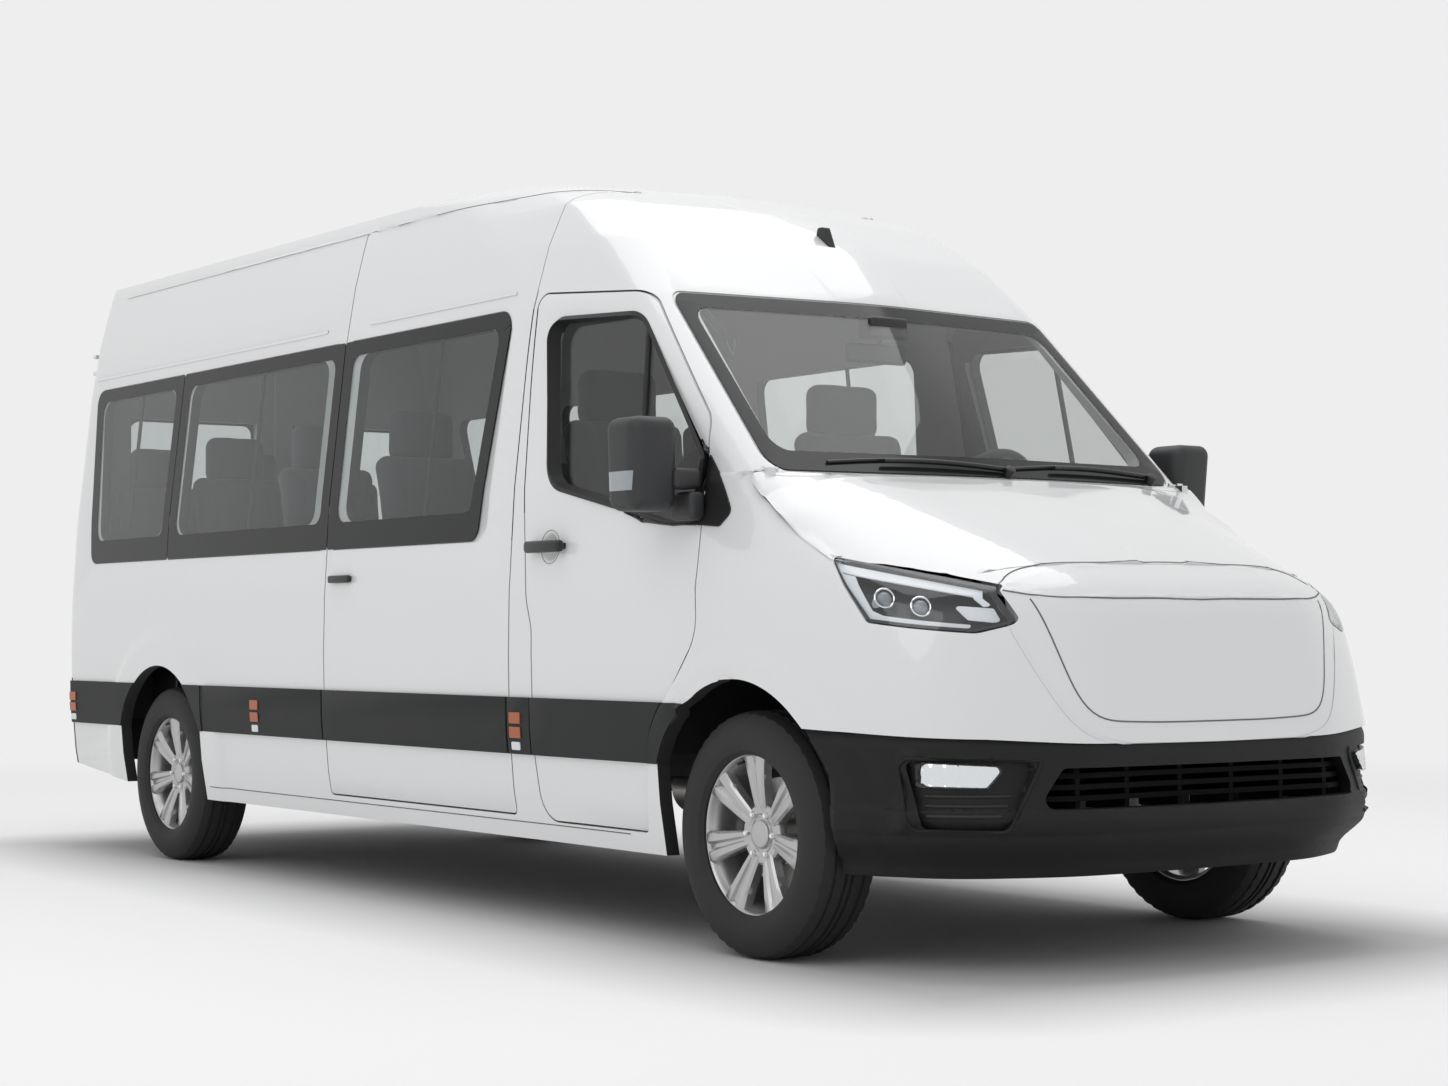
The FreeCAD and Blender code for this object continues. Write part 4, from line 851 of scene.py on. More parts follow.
def dish(bm, side):
    """Press the round hollow behind a door's handle into its outer skin."""
    for vert in bm.verts:
        distance = math.hypot(vert.co.x - ax(HANDLE_X), vert.co.z - HANDLE_Z)
        if distance < DISH_RADIUS and side * vert.co.y > DOOR_SKIN_Y:
            vert.co.y -= side * DISH_DEPTH * (1 - eased(distance, DISH_RADIUS * DISH_FLOOR, DISH_RADIUS))


SKINS = {}
NOSE_CELL, DOOR_CELL, ARCH_CELL = 0.025, 0.008, 0.03  # edge lengths of the cut skins
ARCH_MARGIN = 0.62  # the long sides are cut this far round the axle


def painted_panels():
    """Each panel is its CAD shape, bent smooth at the front, with lining or a door card inside."""
    bodies = body_of()
    nose, hood = nose_change(), hood_change()
    SKINS["change"] = nose
    for node in PAINTED:
        bm = merged_copy(node)
        inner = "lining"
        if node in NOSE_PIECES or node == "hood":
            inner = "satin black"
            cut_cells(bm, NOSE_CELL, (ax(-0.6), -WIDE, 0.2), (ax(1.1), WIDE, 1.45))
            lined(bm)
            if node == "hood":
                bend_hood(bm, hood)
            else:
                bend(bm, nose)
        elif node in CAB_DOORS:
            inner = "card"
            cut_cells(bm, DOOR_CELL, (ax(HANDLE_X) - DISH_MARGIN, -WIDE, 1.12),
                      (ax(HANDLE_X) + DISH_MARGIN, WIDE, 1.25))
            lined(bm)
            dish(bm, 1 if node.endswith("left") else -1)
        else:
            if "side_panel" in node:
                cut_cells(bm, ARCH_CELL, (REAR_AXLE - ARCH_MARGIN, -WIDE, 0.2),
                          (REAR_AXLE + ARCH_MARGIN, WIDE, 1.0))
            lined(bm, SIDE_OUTWARD if node in LONG_SIDES else OUTWARD)
            if node in LONG_SIDES:
                # painted shade: the reveals round the side windows take the black underbody finish
                shaded_window_edges(bm, 2)
        if node in ("front_wings", "nose_panel") or "side_panel" in node:
            arch_lining(bm, 2)
            swell(bm)
        SKINS[node] = bm.copy()
        piece("paint_" + node, bm, ["paint", inner, "underbody"], bodies[node],
              [node], 32, 0.002)


def skin(*names):
    """Ray target made of the dressed panels."""
    bm = bmesh.new()
    for name in names:
        merged_in(bm, SKINS[name])
    tree = BVHTree.FromBMesh(bm)
    bm.free()
    return tree


LINE_SPACING = 0.02  # between the points of a joint line
PATH_ROUNDS, SKIN_ROUNDS = 3, 8  # smoothing before and after it is laid on the skin
CAST_ABOVE, CAST_REACH = 0.03, 0.045  # how far above the skin, and how deep, the line is looked for
LINE_WIDTH, LINE_HEIGHT = 0.004, 0.0012


def relaxed(points):
    """Each inner point moved towards its two neighbours."""
    inner = [(a + b * 2 + c) / 4 for a, b, c in zip(points, points[1:], points[2:])]
    return [points[0]] + inner + [points[-1]]


def line_on(tree, points, width=LINE_WIDTH, lift=LINE_HEIGHT):
    """Joint line through points near a surface: (x from the axle, y, z)."""
    path = []
    for a, b in zip(points, points[1:]):
        a, b = Vector(a), Vector(b)
        steps = max(1, int((b - a).length / LINE_SPACING))
        path += [a.lerp(b, k / steps) for k in range(steps)]
    path.append(Vector(points[-1]))
    for _ in range(PATH_ROUNDS):
        path = relaxed(path)
    found = [tree.find_nearest(Vector((ax(p.x), p.y, p.z))) for p in path]
    spots, normals = [hit[0] for hit in found], [hit[1] for hit in found]
    for _ in range(SKIN_ROUNDS):
        spots = relaxed(spots)
        between = [(a + b * 2 + c).normalized() for a, b, c in zip(normals, normals[1:], normals[2:])]
        normals = [normals[0]] + between + [normals[-1]]
    for i, normal in enumerate(normals):
        spots[i] = tree.ray_cast(spots[i] + normal * CAST_ABOVE, -normal, CAST_REACH)[0] or spots[i]
    bm = bmesh.new()
    rows = []
    for i, (spot, normal) in enumerate(zip(spots, normals)):
        before, after = spots[max(i - 1, 0)], spots[min(i + 1, len(spots) - 1)]
        across = normal.cross(after - before).normalized() * (width / 2)
        rows.append([bm.verts.new(spot + normal * lift + across * k) for k in (-1, 1)])
    for first, second in zip(rows, rows[1:]):
        bm.faces.new((first[0], second[0], second[1], first[1]))
    bm.normal_update()
    if bm.faces[:][0].normal.dot(normals[0]) < 0:
        bmesh.ops.reverse_faces(bm, faces=bm.faces)
    walled(bm, LINE_HEIGHT)
    return bm


def both_sides(points):
    """A half line on the right and its mirror image."""
    return points, [(x, -y, z) for x, y, z in points]


def line_beside(tree, side, places, width=LINE_WIDTH, lift=LINE_HEIGHT):
    """Joint line on a side of the body through (x, z) places of the side view."""
    spots = [on_side(tree, side, x, z) for x, z in places]
    return line_on(tree, [(p.x - FRONT_AXLE, p.y, p.z) for p in spots], width, lift)


# lines of the nose, as (x from the front axle, y, z) on the right half
WING_SEAM = [(0.477, -0.878, 0.948), (0.420, -0.905, 0.861), (0.373, -0.919, 0.793), (0.338, -0.926, 0.766),
             (0.266, -0.939, 0.742), (0.179, -0.953, 0.721)]
BAR_SEAM = [(0.723, -0.624, 1.042), (0.771, -0.567, 1.021), (0.839, -0.380, 1.017), (0.859, 0.0, 1.016)]
PANEL_SEAM = [(0.772, -0.568, 1.016), (0.800, -0.543, 0.944), (0.828, -0.515, 0.851), (0.855, -0.486, 0.758),
              (0.870, -0.465, 0.705), (0.881, -0.428, 0.682), (0.902, -0.200, 0.676), (0.902, 0.0, 0.675)]
SURROUND = [(0.753, -0.633, 0.938), (0.797, -0.594, 0.837), (0.847, -0.533, 0.719), (0.869, -0.500, 0.666),
            (0.887, -0.445, 0.634), (0.894, -0.396, 0.625), (0.902, 0.0, 0.615)]
HOOD_SEAM = [(0.716, -0.632, 1.048), (0.697, -0.625, 1.058), (0.672, -0.592, 1.076), (0.662, -0.540, 1.092),
             (0.672, -0.470, 1.101), (0.684, -0.400, 1.107), (0.690, -0.200, 1.112), (0.692, 0.0, 1.115)]
SURROUND_WIDTH, SURROUND_HEIGHT = 0.007, 0.0022


def front_seams():
    """Joint lines of the hood, the wings and the closed grille panel, and the soft edge round the panel."""
    tree = skin("front_wings", "nose_panel", "grille_panel", "hood")
    bm, ridge = bmesh.new(), bmesh.new()
    for line in (WING_SEAM, BAR_SEAM, PANEL_SEAM, HOOD_SEAM):
        for points in both_sides(line):
            moved_in(bm, line_on(tree, points))
    for points in both_sides(SURROUND):
        moved_in(ridge, line_on(tree, points, SURROUND_WIDTH, SURROUND_HEIGHT))
    trim("nose_joints", bm, "joint")
    piece("nose_surround", ridge, "paint", "van", (), 70, 0.001)


STRIP_LOW, STRIP_HIGH, STRIP_HEIGHT = 0.535, 0.716, 0.005
WING_STRETCH = (-0.62, -0.20)
PANEL_STRETCHES = ((-4.436, -4.02), (-4.02, -3.601))


def strip_ends():
    """The rub strip goes on over the body's skin from its last stretch to the lip of each arch."""
    for side, name in SIDES:
        bm = bmesh.new()
        panel = "side_panel_" + name
        for node, (x0, x1) in [("front_wings", WING_STRETCH)] + [(panel, ends) for ends in PANEL_STRETCHES]:
            part = SKINS[node].copy()
            part.normal_update()
            away = [f for f in part.faces
                    if f.normal.y * side < 0.6 or f.calc_center_median().y * side < 0.85]
            bmesh.ops.delete(part, geom=away, context="FACES")
            for spot, out in (((ax(x0), 0, 0), (-1, 0, 0)), ((ax(x1), 0, 0), (1, 0, 0)),
                              ((0, 0, STRIP_LOW), (0, 0, -1)), ((0, 0, STRIP_HIGH), (0, 0, 1))):
                cut_off(part, spot, out)
            for vert in part.verts:
                vert.co.y += side * STRIP_HEIGHT
            walled(part, STRIP_HEIGHT)
            moved_in(bm, part)
        trim("strip_ends_" + name, bm, "trim")


ROOF_RIB, SHOULDER_CREASE = (2.388, -4.80, -1.25), (2.032, -4.93, -1.36)  # height, rear and front ends
RIB_WIDTH, RIB_HEIGHT, LINE_PARTS = 0.011, 0.0035, 24
SILL_Z, SILL_REAR, SILL_PITCH, SILL_WIDTH = 0.318, -3.58, 0.125, 0.003
# size of the dark ring of painted shade round each handle's hollow
RING_RADIUS, RING_BAR, RING_PARTS = 0.053, 0.0011, 48


def side_lines():
    """Dark rings of painted shade at the rims of the door handles' hollows, the joint above each sill, and the
    ribs over the windows.
    """
    tree = skin("side_panel_left", "side_panel_right", "sliding_door", "roof_panel")
    for side, name in SIDES:
        # the dark ring is painted shade at the rim of the handle's hollow
        rim, door = bmesh.new(), skin("door_" + name)
        turns = [math.tau * k / RING_PARTS for k in range(RING_PARTS)]
        spots = [on_side(door, side, HANDLE_X + RING_RADIUS * math.sin(turn),
                         HANDLE_Z + RING_RADIUS * math.cos(turn)) for turn in turns]
        ring_bar(rim, spots, RING_BAR, 6, True)
        trim("handle_dish_" + name, rim, "joint", "door_" + name)
    joints, ribs = bmesh.new(), bmesh.new()
    for side, _ in SIDES:
        sill = [(SILL_REAR + SILL_PITCH * k, SILL_Z) for k in range(LINE_PARTS + 1)]
        moved_in(joints, line_beside(tree, side, sill, SILL_WIDTH))
        for z, x0, x1 in (ROOF_RIB, SHOULDER_CREASE):
            rib = [(x0 + (x1 - x0) * k / LINE_PARTS, z) for k in range(LINE_PARTS + 1)]
            moved_in(ribs, line_beside(tree, side, rib, RIB_WIDTH, RIB_HEIGHT))
    trim("sill_joints", joints, "joint")
    piece("side_ribs", ribs, "paint", "van", (), 70, 0.002)


# fog lamp recess: (share of the way round the bumper's corner, z, corner radius)
RECESS = [(0.0, 0.588, 0.03), (0.385, 0.580, 0.008), (0.296, 0.394, 0.035), (0.028, 0.398, 0.045)]
RECESS_RIBS = ((0.488, 0.075, 0.300), (0.462, 0.075, 0.290), (0.436, 0.080, 0.275))  # z and the two ends
CORNER_START, CORNER_SPAN = (0.600, 0.894), (0.650, -0.760)  # x and y, and what they change by
CORNER_OUT = (0.76, 0.65)  # where the corner looks
CORNER_RAY = 0.6
RECESS_BAR, RIB_SINK, RIB_PARTS = 0.0055, 0.001, 8


def recess_frames():
    """Raised rim and three ribs of each fog lamp recess."""
    tree = skin("front_bumper")
    rims, ribs = bmesh.new(), bmesh.new()
    for side, _ in SIDES:
        out = Vector((CORNER_OUT[0], side * CORNER_OUT[1], 0)).normalized()

        def corner(share, z):
            x, y = [start + span * share for start, span in zip(CORNER_START, CORNER_SPAN)]
            near = Vector((ax(x), side * y, z))
            return tree.ray_cast(near + out * CORNER_RAY, -out)[0] or near

        ring_bar(rims, [corner(*p) for p in rounded(RECESS, 6)], RECESS_BAR, 8, True)
        for z, first, last in RECESS_RIBS:
            shares = [first + (last - first) * k / RIB_PARTS for k in range(RIB_PARTS + 1)]
            ring_bar(ribs, [corner(share, z) - out * RIB_SINK for share in shares], RECESS_BAR, 8)
    trim("bumper_recess_rims", rims, "bumper", angle=60)
    trim("bumper_recess_ribs", ribs, "seal", angle=60)


BUMPER_CELL = 0.0225
BUMPER_HUB, BUMPER_WIDER = -0.5, 1.3  # the roll turns inwards round this station, more so at the sides


def front_bumper():
    """Grained bumper with its ledge and rolled foot, and the frames of its fog lamp recesses."""
    bm = merged_copy("front_bumper")
    cut_cells(bm, BUMPER_CELL, (ax(-0.6), -WIDE, 0.2), (ax(1.1), WIDE, 0.75))
    for z in BUMPER_CUTS:
        bmesh.ops.bisect_plane(bm, geom=whole(bm), plane_co=(0, 0, z), plane_no=(0, 0, 1))
    bend(bm, SKINS["change"])
    for vert in bm.verts:
        out = Vector((vert.co.x - ax(BUMPER_HUB), vert.co.y * BUMPER_WIDER, 0)).normalized()
        vert.co += out * bumper_roll(vert.co.z)
        side = 1 if vert.co.y > 0 else -1
        vert.co.y += side * flare(vert.co)
    SKINS["front_bumper"] = bm.copy()
    recess_frames()
    trim("front_bumper_skin", bm, "bumper", stands_for=["front_bumper"], bevel=0.0025)


# ---- glass ----
# windows of the long side: x rear, x front at the top, lean of the rear and of the front edge
PANES = [(-4.905, -3.983, 0.120, 0), (-3.977, -2.554, 0, 0), (-2.548, -1.362, 0, 0.110)]
PANE_LOW, PANE_HIGH = 1.222, 1.978
CLEAR_LOW, CLEAR_HIGH = 1.318, 1.925
PANE_FRIT = 0.062  # width of a pane's black border
LEANING_CORNER, PLAIN_CORNER, CLEAR_CORNER = 0.055, 0.012, 0.05
GLASS, PANE_LIFT = 0.004, 0.002  # thickness, and how far a side pane stands off its solid
BAR_INSIDE, BAR_RADIUS = -0.02, 0.008  # the bar behind each side pane
LEANING_SHIFT = 0.09  # of the bar behind the leaning front pane


def pane_outlines(x0, x1, lean_rear, lean_front):
    """Outer edge of a side pane and the edge of its clear part."""
    rear_corner = LEANING_CORNER if lean_rear else PLAIN_CORNER
    front_corner = LEANING_CORNER if lean_front else PLAIN_CORNER
    outline = rounded([(x0, PANE_HIGH, rear_corner), (x0 + lean_rear, PANE_LOW, rear_corner),
                       (x1 - lean_front, PANE_LOW, front_corner), (x1, PANE_HIGH, front_corner)])
    high = (PANE_HIGH - CLEAR_HIGH) / (PANE_HIGH - PANE_LOW)
    low = (CLEAR_LOW - PANE_LOW) / (PANE_HIGH - PANE_LOW)
    clear = rounded([(x0 + PANE_FRIT + lean_rear * high, CLEAR_HIGH, CLEAR_CORNER),
                     (x0 + PANE_FRIT + lean_rear * (1 - low), CLEAR_LOW, CLEAR_CORNER),
                     (x1 - PANE_FRIT - lean_front * (1 - low), CLEAR_LOW, CLEAR_CORNER),
                     (x1 - PANE_FRIT - lean_front * high, CLEAR_HIGH, CLEAR_CORNER)])
    return outline, clear


def side_glass():
    """Three panes on each side with a black border, and an upright bar behind each."""
    for side, name in SIDES:
        tree = target("side_windows_" + name)
        bm, bars = bmesh.new(), bmesh.new()
        for pane in PANES:
            outline, clear = pane_outlines(*pane)
            moved_in(bm, glazed_patch(tree, outline, clear, side_place(side), (0, -side, 0), GLASS,
                                      lift=PANE_LIFT))
            x = (pane[0] + pane[1]) / 2 + (LEANING_SHIFT if pane[3] else 0)
            ring_bar(bars, [on_side(tree, side, x, z, BAR_INSIDE) for z in (CLEAR_HIGH, CLEAR_LOW)],
                     BAR_RADIUS, 8)
        piece("side_glass_" + name, bm, ["dark glass", "frit"], "van", ["side_windows_" + name])
        trim("window_bars_" + name, bars, "satin black", angle=35)


SCREEN = [(0.806, 1.392, 0.05), (0.752, 1.972, 0.045), (-0.752, 1.972, 0.045), (-0.806, 1.392, 0.05)]
SCREEN_CLEAR = [(0.752, 1.452, 0.05), (0.712, 1.925, 0.06), (0.17, 1.925, 0.01), (0.12, 1.845, 0.03),
                (-0.12, 1.845, 0.03), (-0.17, 1.925, 0.01), (-0.712, 1.925, 0.06), (-0.752, 1.452, 0.05)]
SENSOR_LOW, SENSOR_HIGH, SENSOR_FACE = (-0.62, -0.075, 1.86), (-0.54, 0.075, 1.93), -0.535
STEM_Z = 1.895  # where the cab mirror's stem meets the glass
STEM_ENDS = ((-0.03, 0, 0), (-0.07, 0, -0.05))  # from that point
CAB_MIRROR = ((-0.095, -0.12, -0.11), (-0.068, 0.12, -0.045))


def screen_glass():
    """Windscreen with its black border, the sensor box behind it and the cab's mirror on a stem."""
    tree = target("windscreen")
    bm = glazed_patch(tree, rounded(SCREEN), rounded(SCREEN_CLEAR), front_place, (-1, 0, 0), GLASS, 0.05)
    piece("screen_glass", bm, ["glass", "frit"], "van", ["windscreen"])
    sensor = bmesh.new()
    low, high = [(ax(x), y, z) for x, y, z in (SENSOR_LOW, SENSOR_HIGH)]
    block(sensor, low, high, 0.012)
    stem = on_front(tree, 0, STEM_Z)
    bmesh.ops.translate(sensor, vec=(stem.x - ax(SENSOR_FACE), 0, 0), verts=sensor.verts)
    ring_bar(sensor, [stem + Vector(end) for end in STEM_ENDS], 0.008)
    block(sensor, stem + Vector(CAB_MIRROR[0]), stem + Vector(CAB_MIRROR[1]), 0.012)
    trim("cab_mirror", sensor, "satin black", angle=35)


# outlines of the cab door's side view: (x from the front axle, z, corner radius)
WINDOW = [(-1.150, 1.925, 0.06), (-0.690, 1.905, 0.13), (-0.268, 1.437, 0.03), (-0.268, 1.245, 0.02),
          (-0.400, 1.245, 0.20), (-1.040, 1.385, 0.11)]
SAIL = [(-0.645, 1.292, 0.01), (-0.529, 1.254, 0.05), (-0.374, 1.238, 0.05), (-0.262, 1.234, 0.003),
        (-0.262, 1.448, 0.003), (-0.302, 1.490, 0.004)]
SAIL_CAP = [(-0.257, 1.234, 0.003), (-0.151, 1.226, 0.02), (-0.106, 1.268, 0.022), (-0.188, 1.370, 0.05),
            (-0.257, 1.444, 0.003)]
RUBBER_OUT, RUBBER_IN, RUBBER_GLASS, PANE_IN = -0.008, 0.006, 0.015, 0.012  # insets of the window's outline
RUBBER, RUBBER_LIFT, RUBBER_ON_GLASS = 0.003, 0.0015, 0.001
DIVIDER = ((-0.600, 1.30), (-0.655, 1.860))
SAIL_LIFT, SAIL_WALL, CAP_LIFT, CAP_WALL = 0.008, 0.006, 0.006, 0.005


def door_windows():
    """Rubber frame, pane, divider and the black sail at the foot of each cab door's window."""
    for side, name in SIDES:
        door, pane = target("door_" + name), target("door_glass_" + name)
        body, place, inward = "door_" + name, side_place(side), (0, -side, 0)
        lip, rim, glass_edge = [
            [on_side(tree, side, p[0], p[1], lift) for p in rounded(inset(WINDOW, amount), 8)]
            for tree, amount, lift in ((door, RUBBER_OUT, RUBBER_LIFT), (door, RUBBER_IN, RUBBER_LIFT),
                                       (pane, RUBBER_GLASS, RUBBER_ON_GLASS))]
        bm = bmesh.new()
        bridged(bm, lip, rim)
        bridged(bm, rim, glass_edge)
        bmesh.ops.remove_doubles(bm, verts=bm.verts, dist=1e-5)
        thicken(bm, RUBBER, Vector((0, side, 0)))
        trim("window_rubber_" + name, bm, "seal", body, angle=35)
        bm = patch(pane, [rounded(inset(WINDOW, PANE_IN), 8)], place, inward, 0, GLASS)
        piece("window_pane_" + name, bm, "glass", body, ["door_glass_" + name])
        bm = bmesh.new()
        ring_bar(bm, [on_side(pane, side, x, z, 0.002) for x, z in DIVIDER], 0.009, 8)
        trim("window_divider_" + name, bm, "seal", body, angle=35)
        both = target("door_" + name, "door_glass_" + name)
        bm = patch(both, [rounded(SAIL)], place, inward, SAIL_LIFT, SAIL_WALL)
        trim("sail_" + name, bm, "satin black", body, angle=35)
        pillar = target("cab_frame", "front_wings")
        bm = patch(pillar, [rounded(SAIL_CAP)], place, inward, CAP_LIFT, CAP_WALL)
        trim("sail_cap_" + name, bm, "satin black", angle=35)


# rear pane and its clear part: y from the middle at the inner and outer edge, z, corner radius of each
REAR_PANE = (0.052, 0.738, 1.242, 1.928, 0.04, 0.06)
REAR_CLEAR = (0.10, 0.69, 1.30, 1.87, 0.04, 0.05)


def rear_outline(side, inner, outer, low, high, inner_corner, outer_corner):
    return rounded([(side * inner, low, inner_corner), (side * outer, low, outer_corner),
                    (side * outer, high, outer_corner), (side * inner, high, inner_corner)])


def rear_glass():
    """A pane with a black border in each rear door."""
    for side, name in SIDES:
        tree = target("rear_glass_" + name)
        outline, clear = rear_outline(side, *REAR_PANE), rear_outline(side, *REAR_CLEAR)
        bm = glazed_patch(tree, outline, clear, lambda y, z: Vector((REAR_FACE - 0.5, y, z)), (1, 0, 0),
                          GLASS, 0.2)
        piece("rear_pane_" + name, bm, ["dark glass", "frit"], "rear_door_" + name,
              ["rear_glass_" + name])


# ---- wheels ----
TYRE_HALF, TREAD = 0.1125, 0.007  # half the tyre's width, and the depth of its grooves
NOTCH_PITCH, NOTCH_EVERY = 2.5, 3  # degrees; every third rib is notched
SHOULDER_NOTCH, MIDDLE_NOTCH = 0.0035, 0.005


def tyre_mesh(centre):
    """Tyre with four grooves, and notches across its shoulders and inner ribs."""
    half, top = TYRE_HALF, TYRE_RADIUS
    profile = [(-half + 0.020, 0.226), (-half + 0.008, 0.238), (-half + 0.002, 0.258), (-half, 0.276),
               (-half + 0.003, 0.300), (-half + 0.012, 0.326), (-half + 0.024, 0.342),
               (-half + 0.040, top - 0.002), (-0.058, top), (-0.056, top - TREAD), (-0.047, top - TREAD),
               (-0.045, top), (-0.017, top), (-0.015, top - TREAD), (-0.006, top - TREAD), (-0.004, top)]
    profile += [(-y, r) for y, r in reversed(profile)]
    bm = turned(profile, (0, 0, 0), 144)
    for vert in bm.verts:
        radius, out = math.hypot(vert.co.x, vert.co.z), abs(vert.co.y)
        turn = math.degrees(math.atan2(vert.co.z, vert.co.x)) % 360
        if int(round(turn / NOTCH_PITCH)) % NOTCH_EVERY:
            continue
        if out > 0.070 and radius > 0.334:
            vert.co.x *= 1 - SHOULDER_NOTCH / radius
            vert.co.z *= 1 - SHOULDER_NOTCH / radius
        if 0.02 < out < 0.05 and radius > top - 0.001:
            vert.co.x *= 1 - MIDDLE_NOTCH / radius
            vert.co.z *= 1 - MIDDLE_NOTCH / radius
    bmesh.ops.translate(bm, vec=centre, verts=bm.verts)
    return bm


# along a spoke: (radius, half width, y of its face); across it: (share of the half width, depth)
SPOKE_STATIONS = [(0.050, 0.021, 0.052), (0.075, 0.0235, 0.060), (0.100, 0.027, 0.066),
                  (0.130, 0.031, 0.072), (0.160, 0.036, 0.0775), (0.185, 0.041, 0.081),
                  (0.206, 0.046, 0.0835)]
SPOKE_SECTION = [(-1.0, -0.034), (-1.0, -0.006), (-0.80, 0.000), (-0.32, 0.0015), (-0.14, -0.0075),
                 (0.14, -0.0075), (0.32, 0.0015), (0.80, 0.000), (1.0, -0.006), (1.0, -0.034)]
GROOVE_START = (0.060, 0.100)  # radii between which the groove along a spoke begins


def spoke(bm):
    """One spoke pointing up, its face towards +Y, with rounded shoulders and a groove."""
    rows = []
    for radius, half, face in SPOKE_STATIONS:
        fade = eased(radius, *GROOVE_START)
        rows.append([bm.verts.new((u * half, face + (d if abs(u) > 0.5 else d * fade), radius))
                     for u, d in SPOKE_SECTION])
    for first, second in zip(rows, rows[1:]):
        for i in range(len(SPOKE_SECTION)):
            j = (i + 1) % len(SPOKE_SECTION)
            bm.faces.new((first[i], first[j], second[j], second[i]))
    faced_out(bm)


# closed profiles of the turned parts, as (y, radius); the outside of the wheel is at +y
RIM_OUTER = 0.219
BARREL = [(-0.088, RIM_OUTER - 0.004), (-0.088, 0.205), (-0.075, 0.196), (0.040, 0.192), (0.064, 0.199),
          (0.070, 0.203), (0.078, 0.2045), (0.0845, 0.2095), (0.0865, 0.2145), (0.0850, RIM_OUTER),
          (0.078, RIM_OUTER), (0.070, 0.2095), (0.045, 0.201), (-0.070, 0.205), (-0.080, RIM_OUTER - 0.004)]
HUB = [(0.0195, 0.0), (0.0195, 0.088), (0.038, 0.088), (0.050, 0.084), (0.055, 0.078), (0.056, 0.060),
       (0.050, 0.050), (0.050, 0.041), (0.059, 0.040), (0.0615, 0.037), (0.0625, 0.033), (0.0630, 0.0)]
DISC = [(-0.0385, 0.085), (-0.0385, 0.150), (-0.018, 0.150), (-0.018, 0.085)]
DISC_BELL = [(-0.020, 0.033), (-0.020, 0.083), (0.017, 0.083), (0.017, 0.033)]
SPOKES, NUTS, NUT_CIRCLE = 7, 6, 0.062
WIDEN, WIDEN_FROM = 0.11, 0.06  # the finished face is widened by this share past this radius


def rim_mesh(centre, side):
    """Seven-spoke wheel with its barrel, nuts, cap, valve and brake disc; the face looks outwards."""
    bm = turned(BARREL, (0, 0, 0), 96)
    arm = bmesh.new()
    spoke(arm)
    for k in range(SPOKES):
        copy = arm.copy()
        turn = Matrix.Rotation(math.tau * k / SPOKES, 3, "Y")
        bmesh.ops.rotate(copy, cent=(0, 0, 0), matrix=turn, verts=copy.verts)
        moved_in(bm, copy)
    arm.free()
    moved_in(bm, turned(HUB, (0, 0, 0), 56))
    nuts = bmesh.new()
    for k in range(NUTS):
        turn = math.tau * (k + 0.5) / NUTS
        x, z = math.sin(turn) * NUT_CIRCLE, math.cos(turn) * NUT_CIRCLE
        drum(nuts, (x, 0.056, z), (0, 1, 0), 0.0095, 0.016, 6, 0.0015)
        drum(nuts, (x, 0.064, z), (0, 1, 0), 0.0068, 0.008, 14, 0.002)
    brake = turned(DISC, (0, 0, 0), 64)
    moved_in(brake, turned(DISC_BELL, (0, 0, 0), 40))
    valve = bmesh.new()
    drum(valve, (0.060, 0.070, 0.187), (0.25, 1, -0.3), 0.004, 0.034, 10, 0.001)
    for mesh, index in ((nuts, 1), (brake, 2), (valve, 3)):
        for face in mesh.faces:
            face.material_index = index
        moved_in(bm, mesh)
    for vert in bm.verts:
        radius = math.hypot(vert.co.x, vert.co.z)
        if radius > WIDEN_FROM:
            wider = 1 + WIDEN * (radius - WIDEN_FROM) / radius
            vert.co.x, vert.co.z = vert.co.x * wider, vert.co.z * wider
    if side < 0:
        bmesh.ops.rotate(bm, cent=(0, 0, 0), matrix=Matrix.Rotation(math.pi, 3, "Z"), verts=bm.verts)
    bmesh.ops.translate(bm, vec=centre, verts=bm.verts)
    return bm


def wheels():
    """A tyre and a wheel at each corner."""
    for end, axle_x in (("front", FRONT_AXLE), ("rear", REAR_AXLE)):
        for side, name in SIDES:
            centre = Vector((axle_x, side * WHEEL_Y, TYRE_RADIUS))
            corner = "%s_%s" % (end, name)
            body = "wheel_" + corner
            piece("tyre_%s_tread" % corner, tyre_mesh(centre), "tyre", body, ["tyre_" + corner], 28)
            looks = ["alloy", "bright", "steel", "satin black"]
            piece("wheel_%s_alloy" % corner, rim_mesh(centre, side), looks, body,
                  ["rim_" + corner], 30, 0.0012)


# ---- lamps ----
# outlines of the headlamp's side view: (x from the front axle, z, corner radius)
LAMP = [(0.306, 1.134, 0.010), (0.716, 1.042, 0.012), (0.764, 0.946, 0.014), (0.716, 0.921, 0.02),
        (0.481, 0.950, 0.022)]
GUIDE_TOP = [(0.326, 1.121, 0.003), (0.690, 1.039, 0.004), (0.722, 1.000, 0.003), (0.712, 0.998, 0.003),
             (0.684, 1.024, 0.004), (0.342, 1.098, 0.003)]
GUIDE_HOOK = [(0.347, 1.088, 0.004), (0.402, 1.078, 0.004), (0.482, 0.984, 0.02), (0.520, 0.970, 0.02),
              (0.704, 0.945, 0.004), (0.704, 0.935, 0.004), (0.520, 0.956, 0.02), (0.487, 0.956, 0.012)]
GUIDE_WING = [(0.672, 1.000, 0.004), (0.728, 0.992, 0.004), (0.745, 0.952, 0.006), (0.700, 0.962, 0.006)]
GUIDES = ((GUIDE_TOP, -0.012), (GUIDE_HOOK, -0.014), (GUIDE_WING, -0.022))  # each with its lift
LAMP_CELL, LAMP_SIDE = 0.02, 0.75  # its sheets are cut this fine, and its middle is this far out
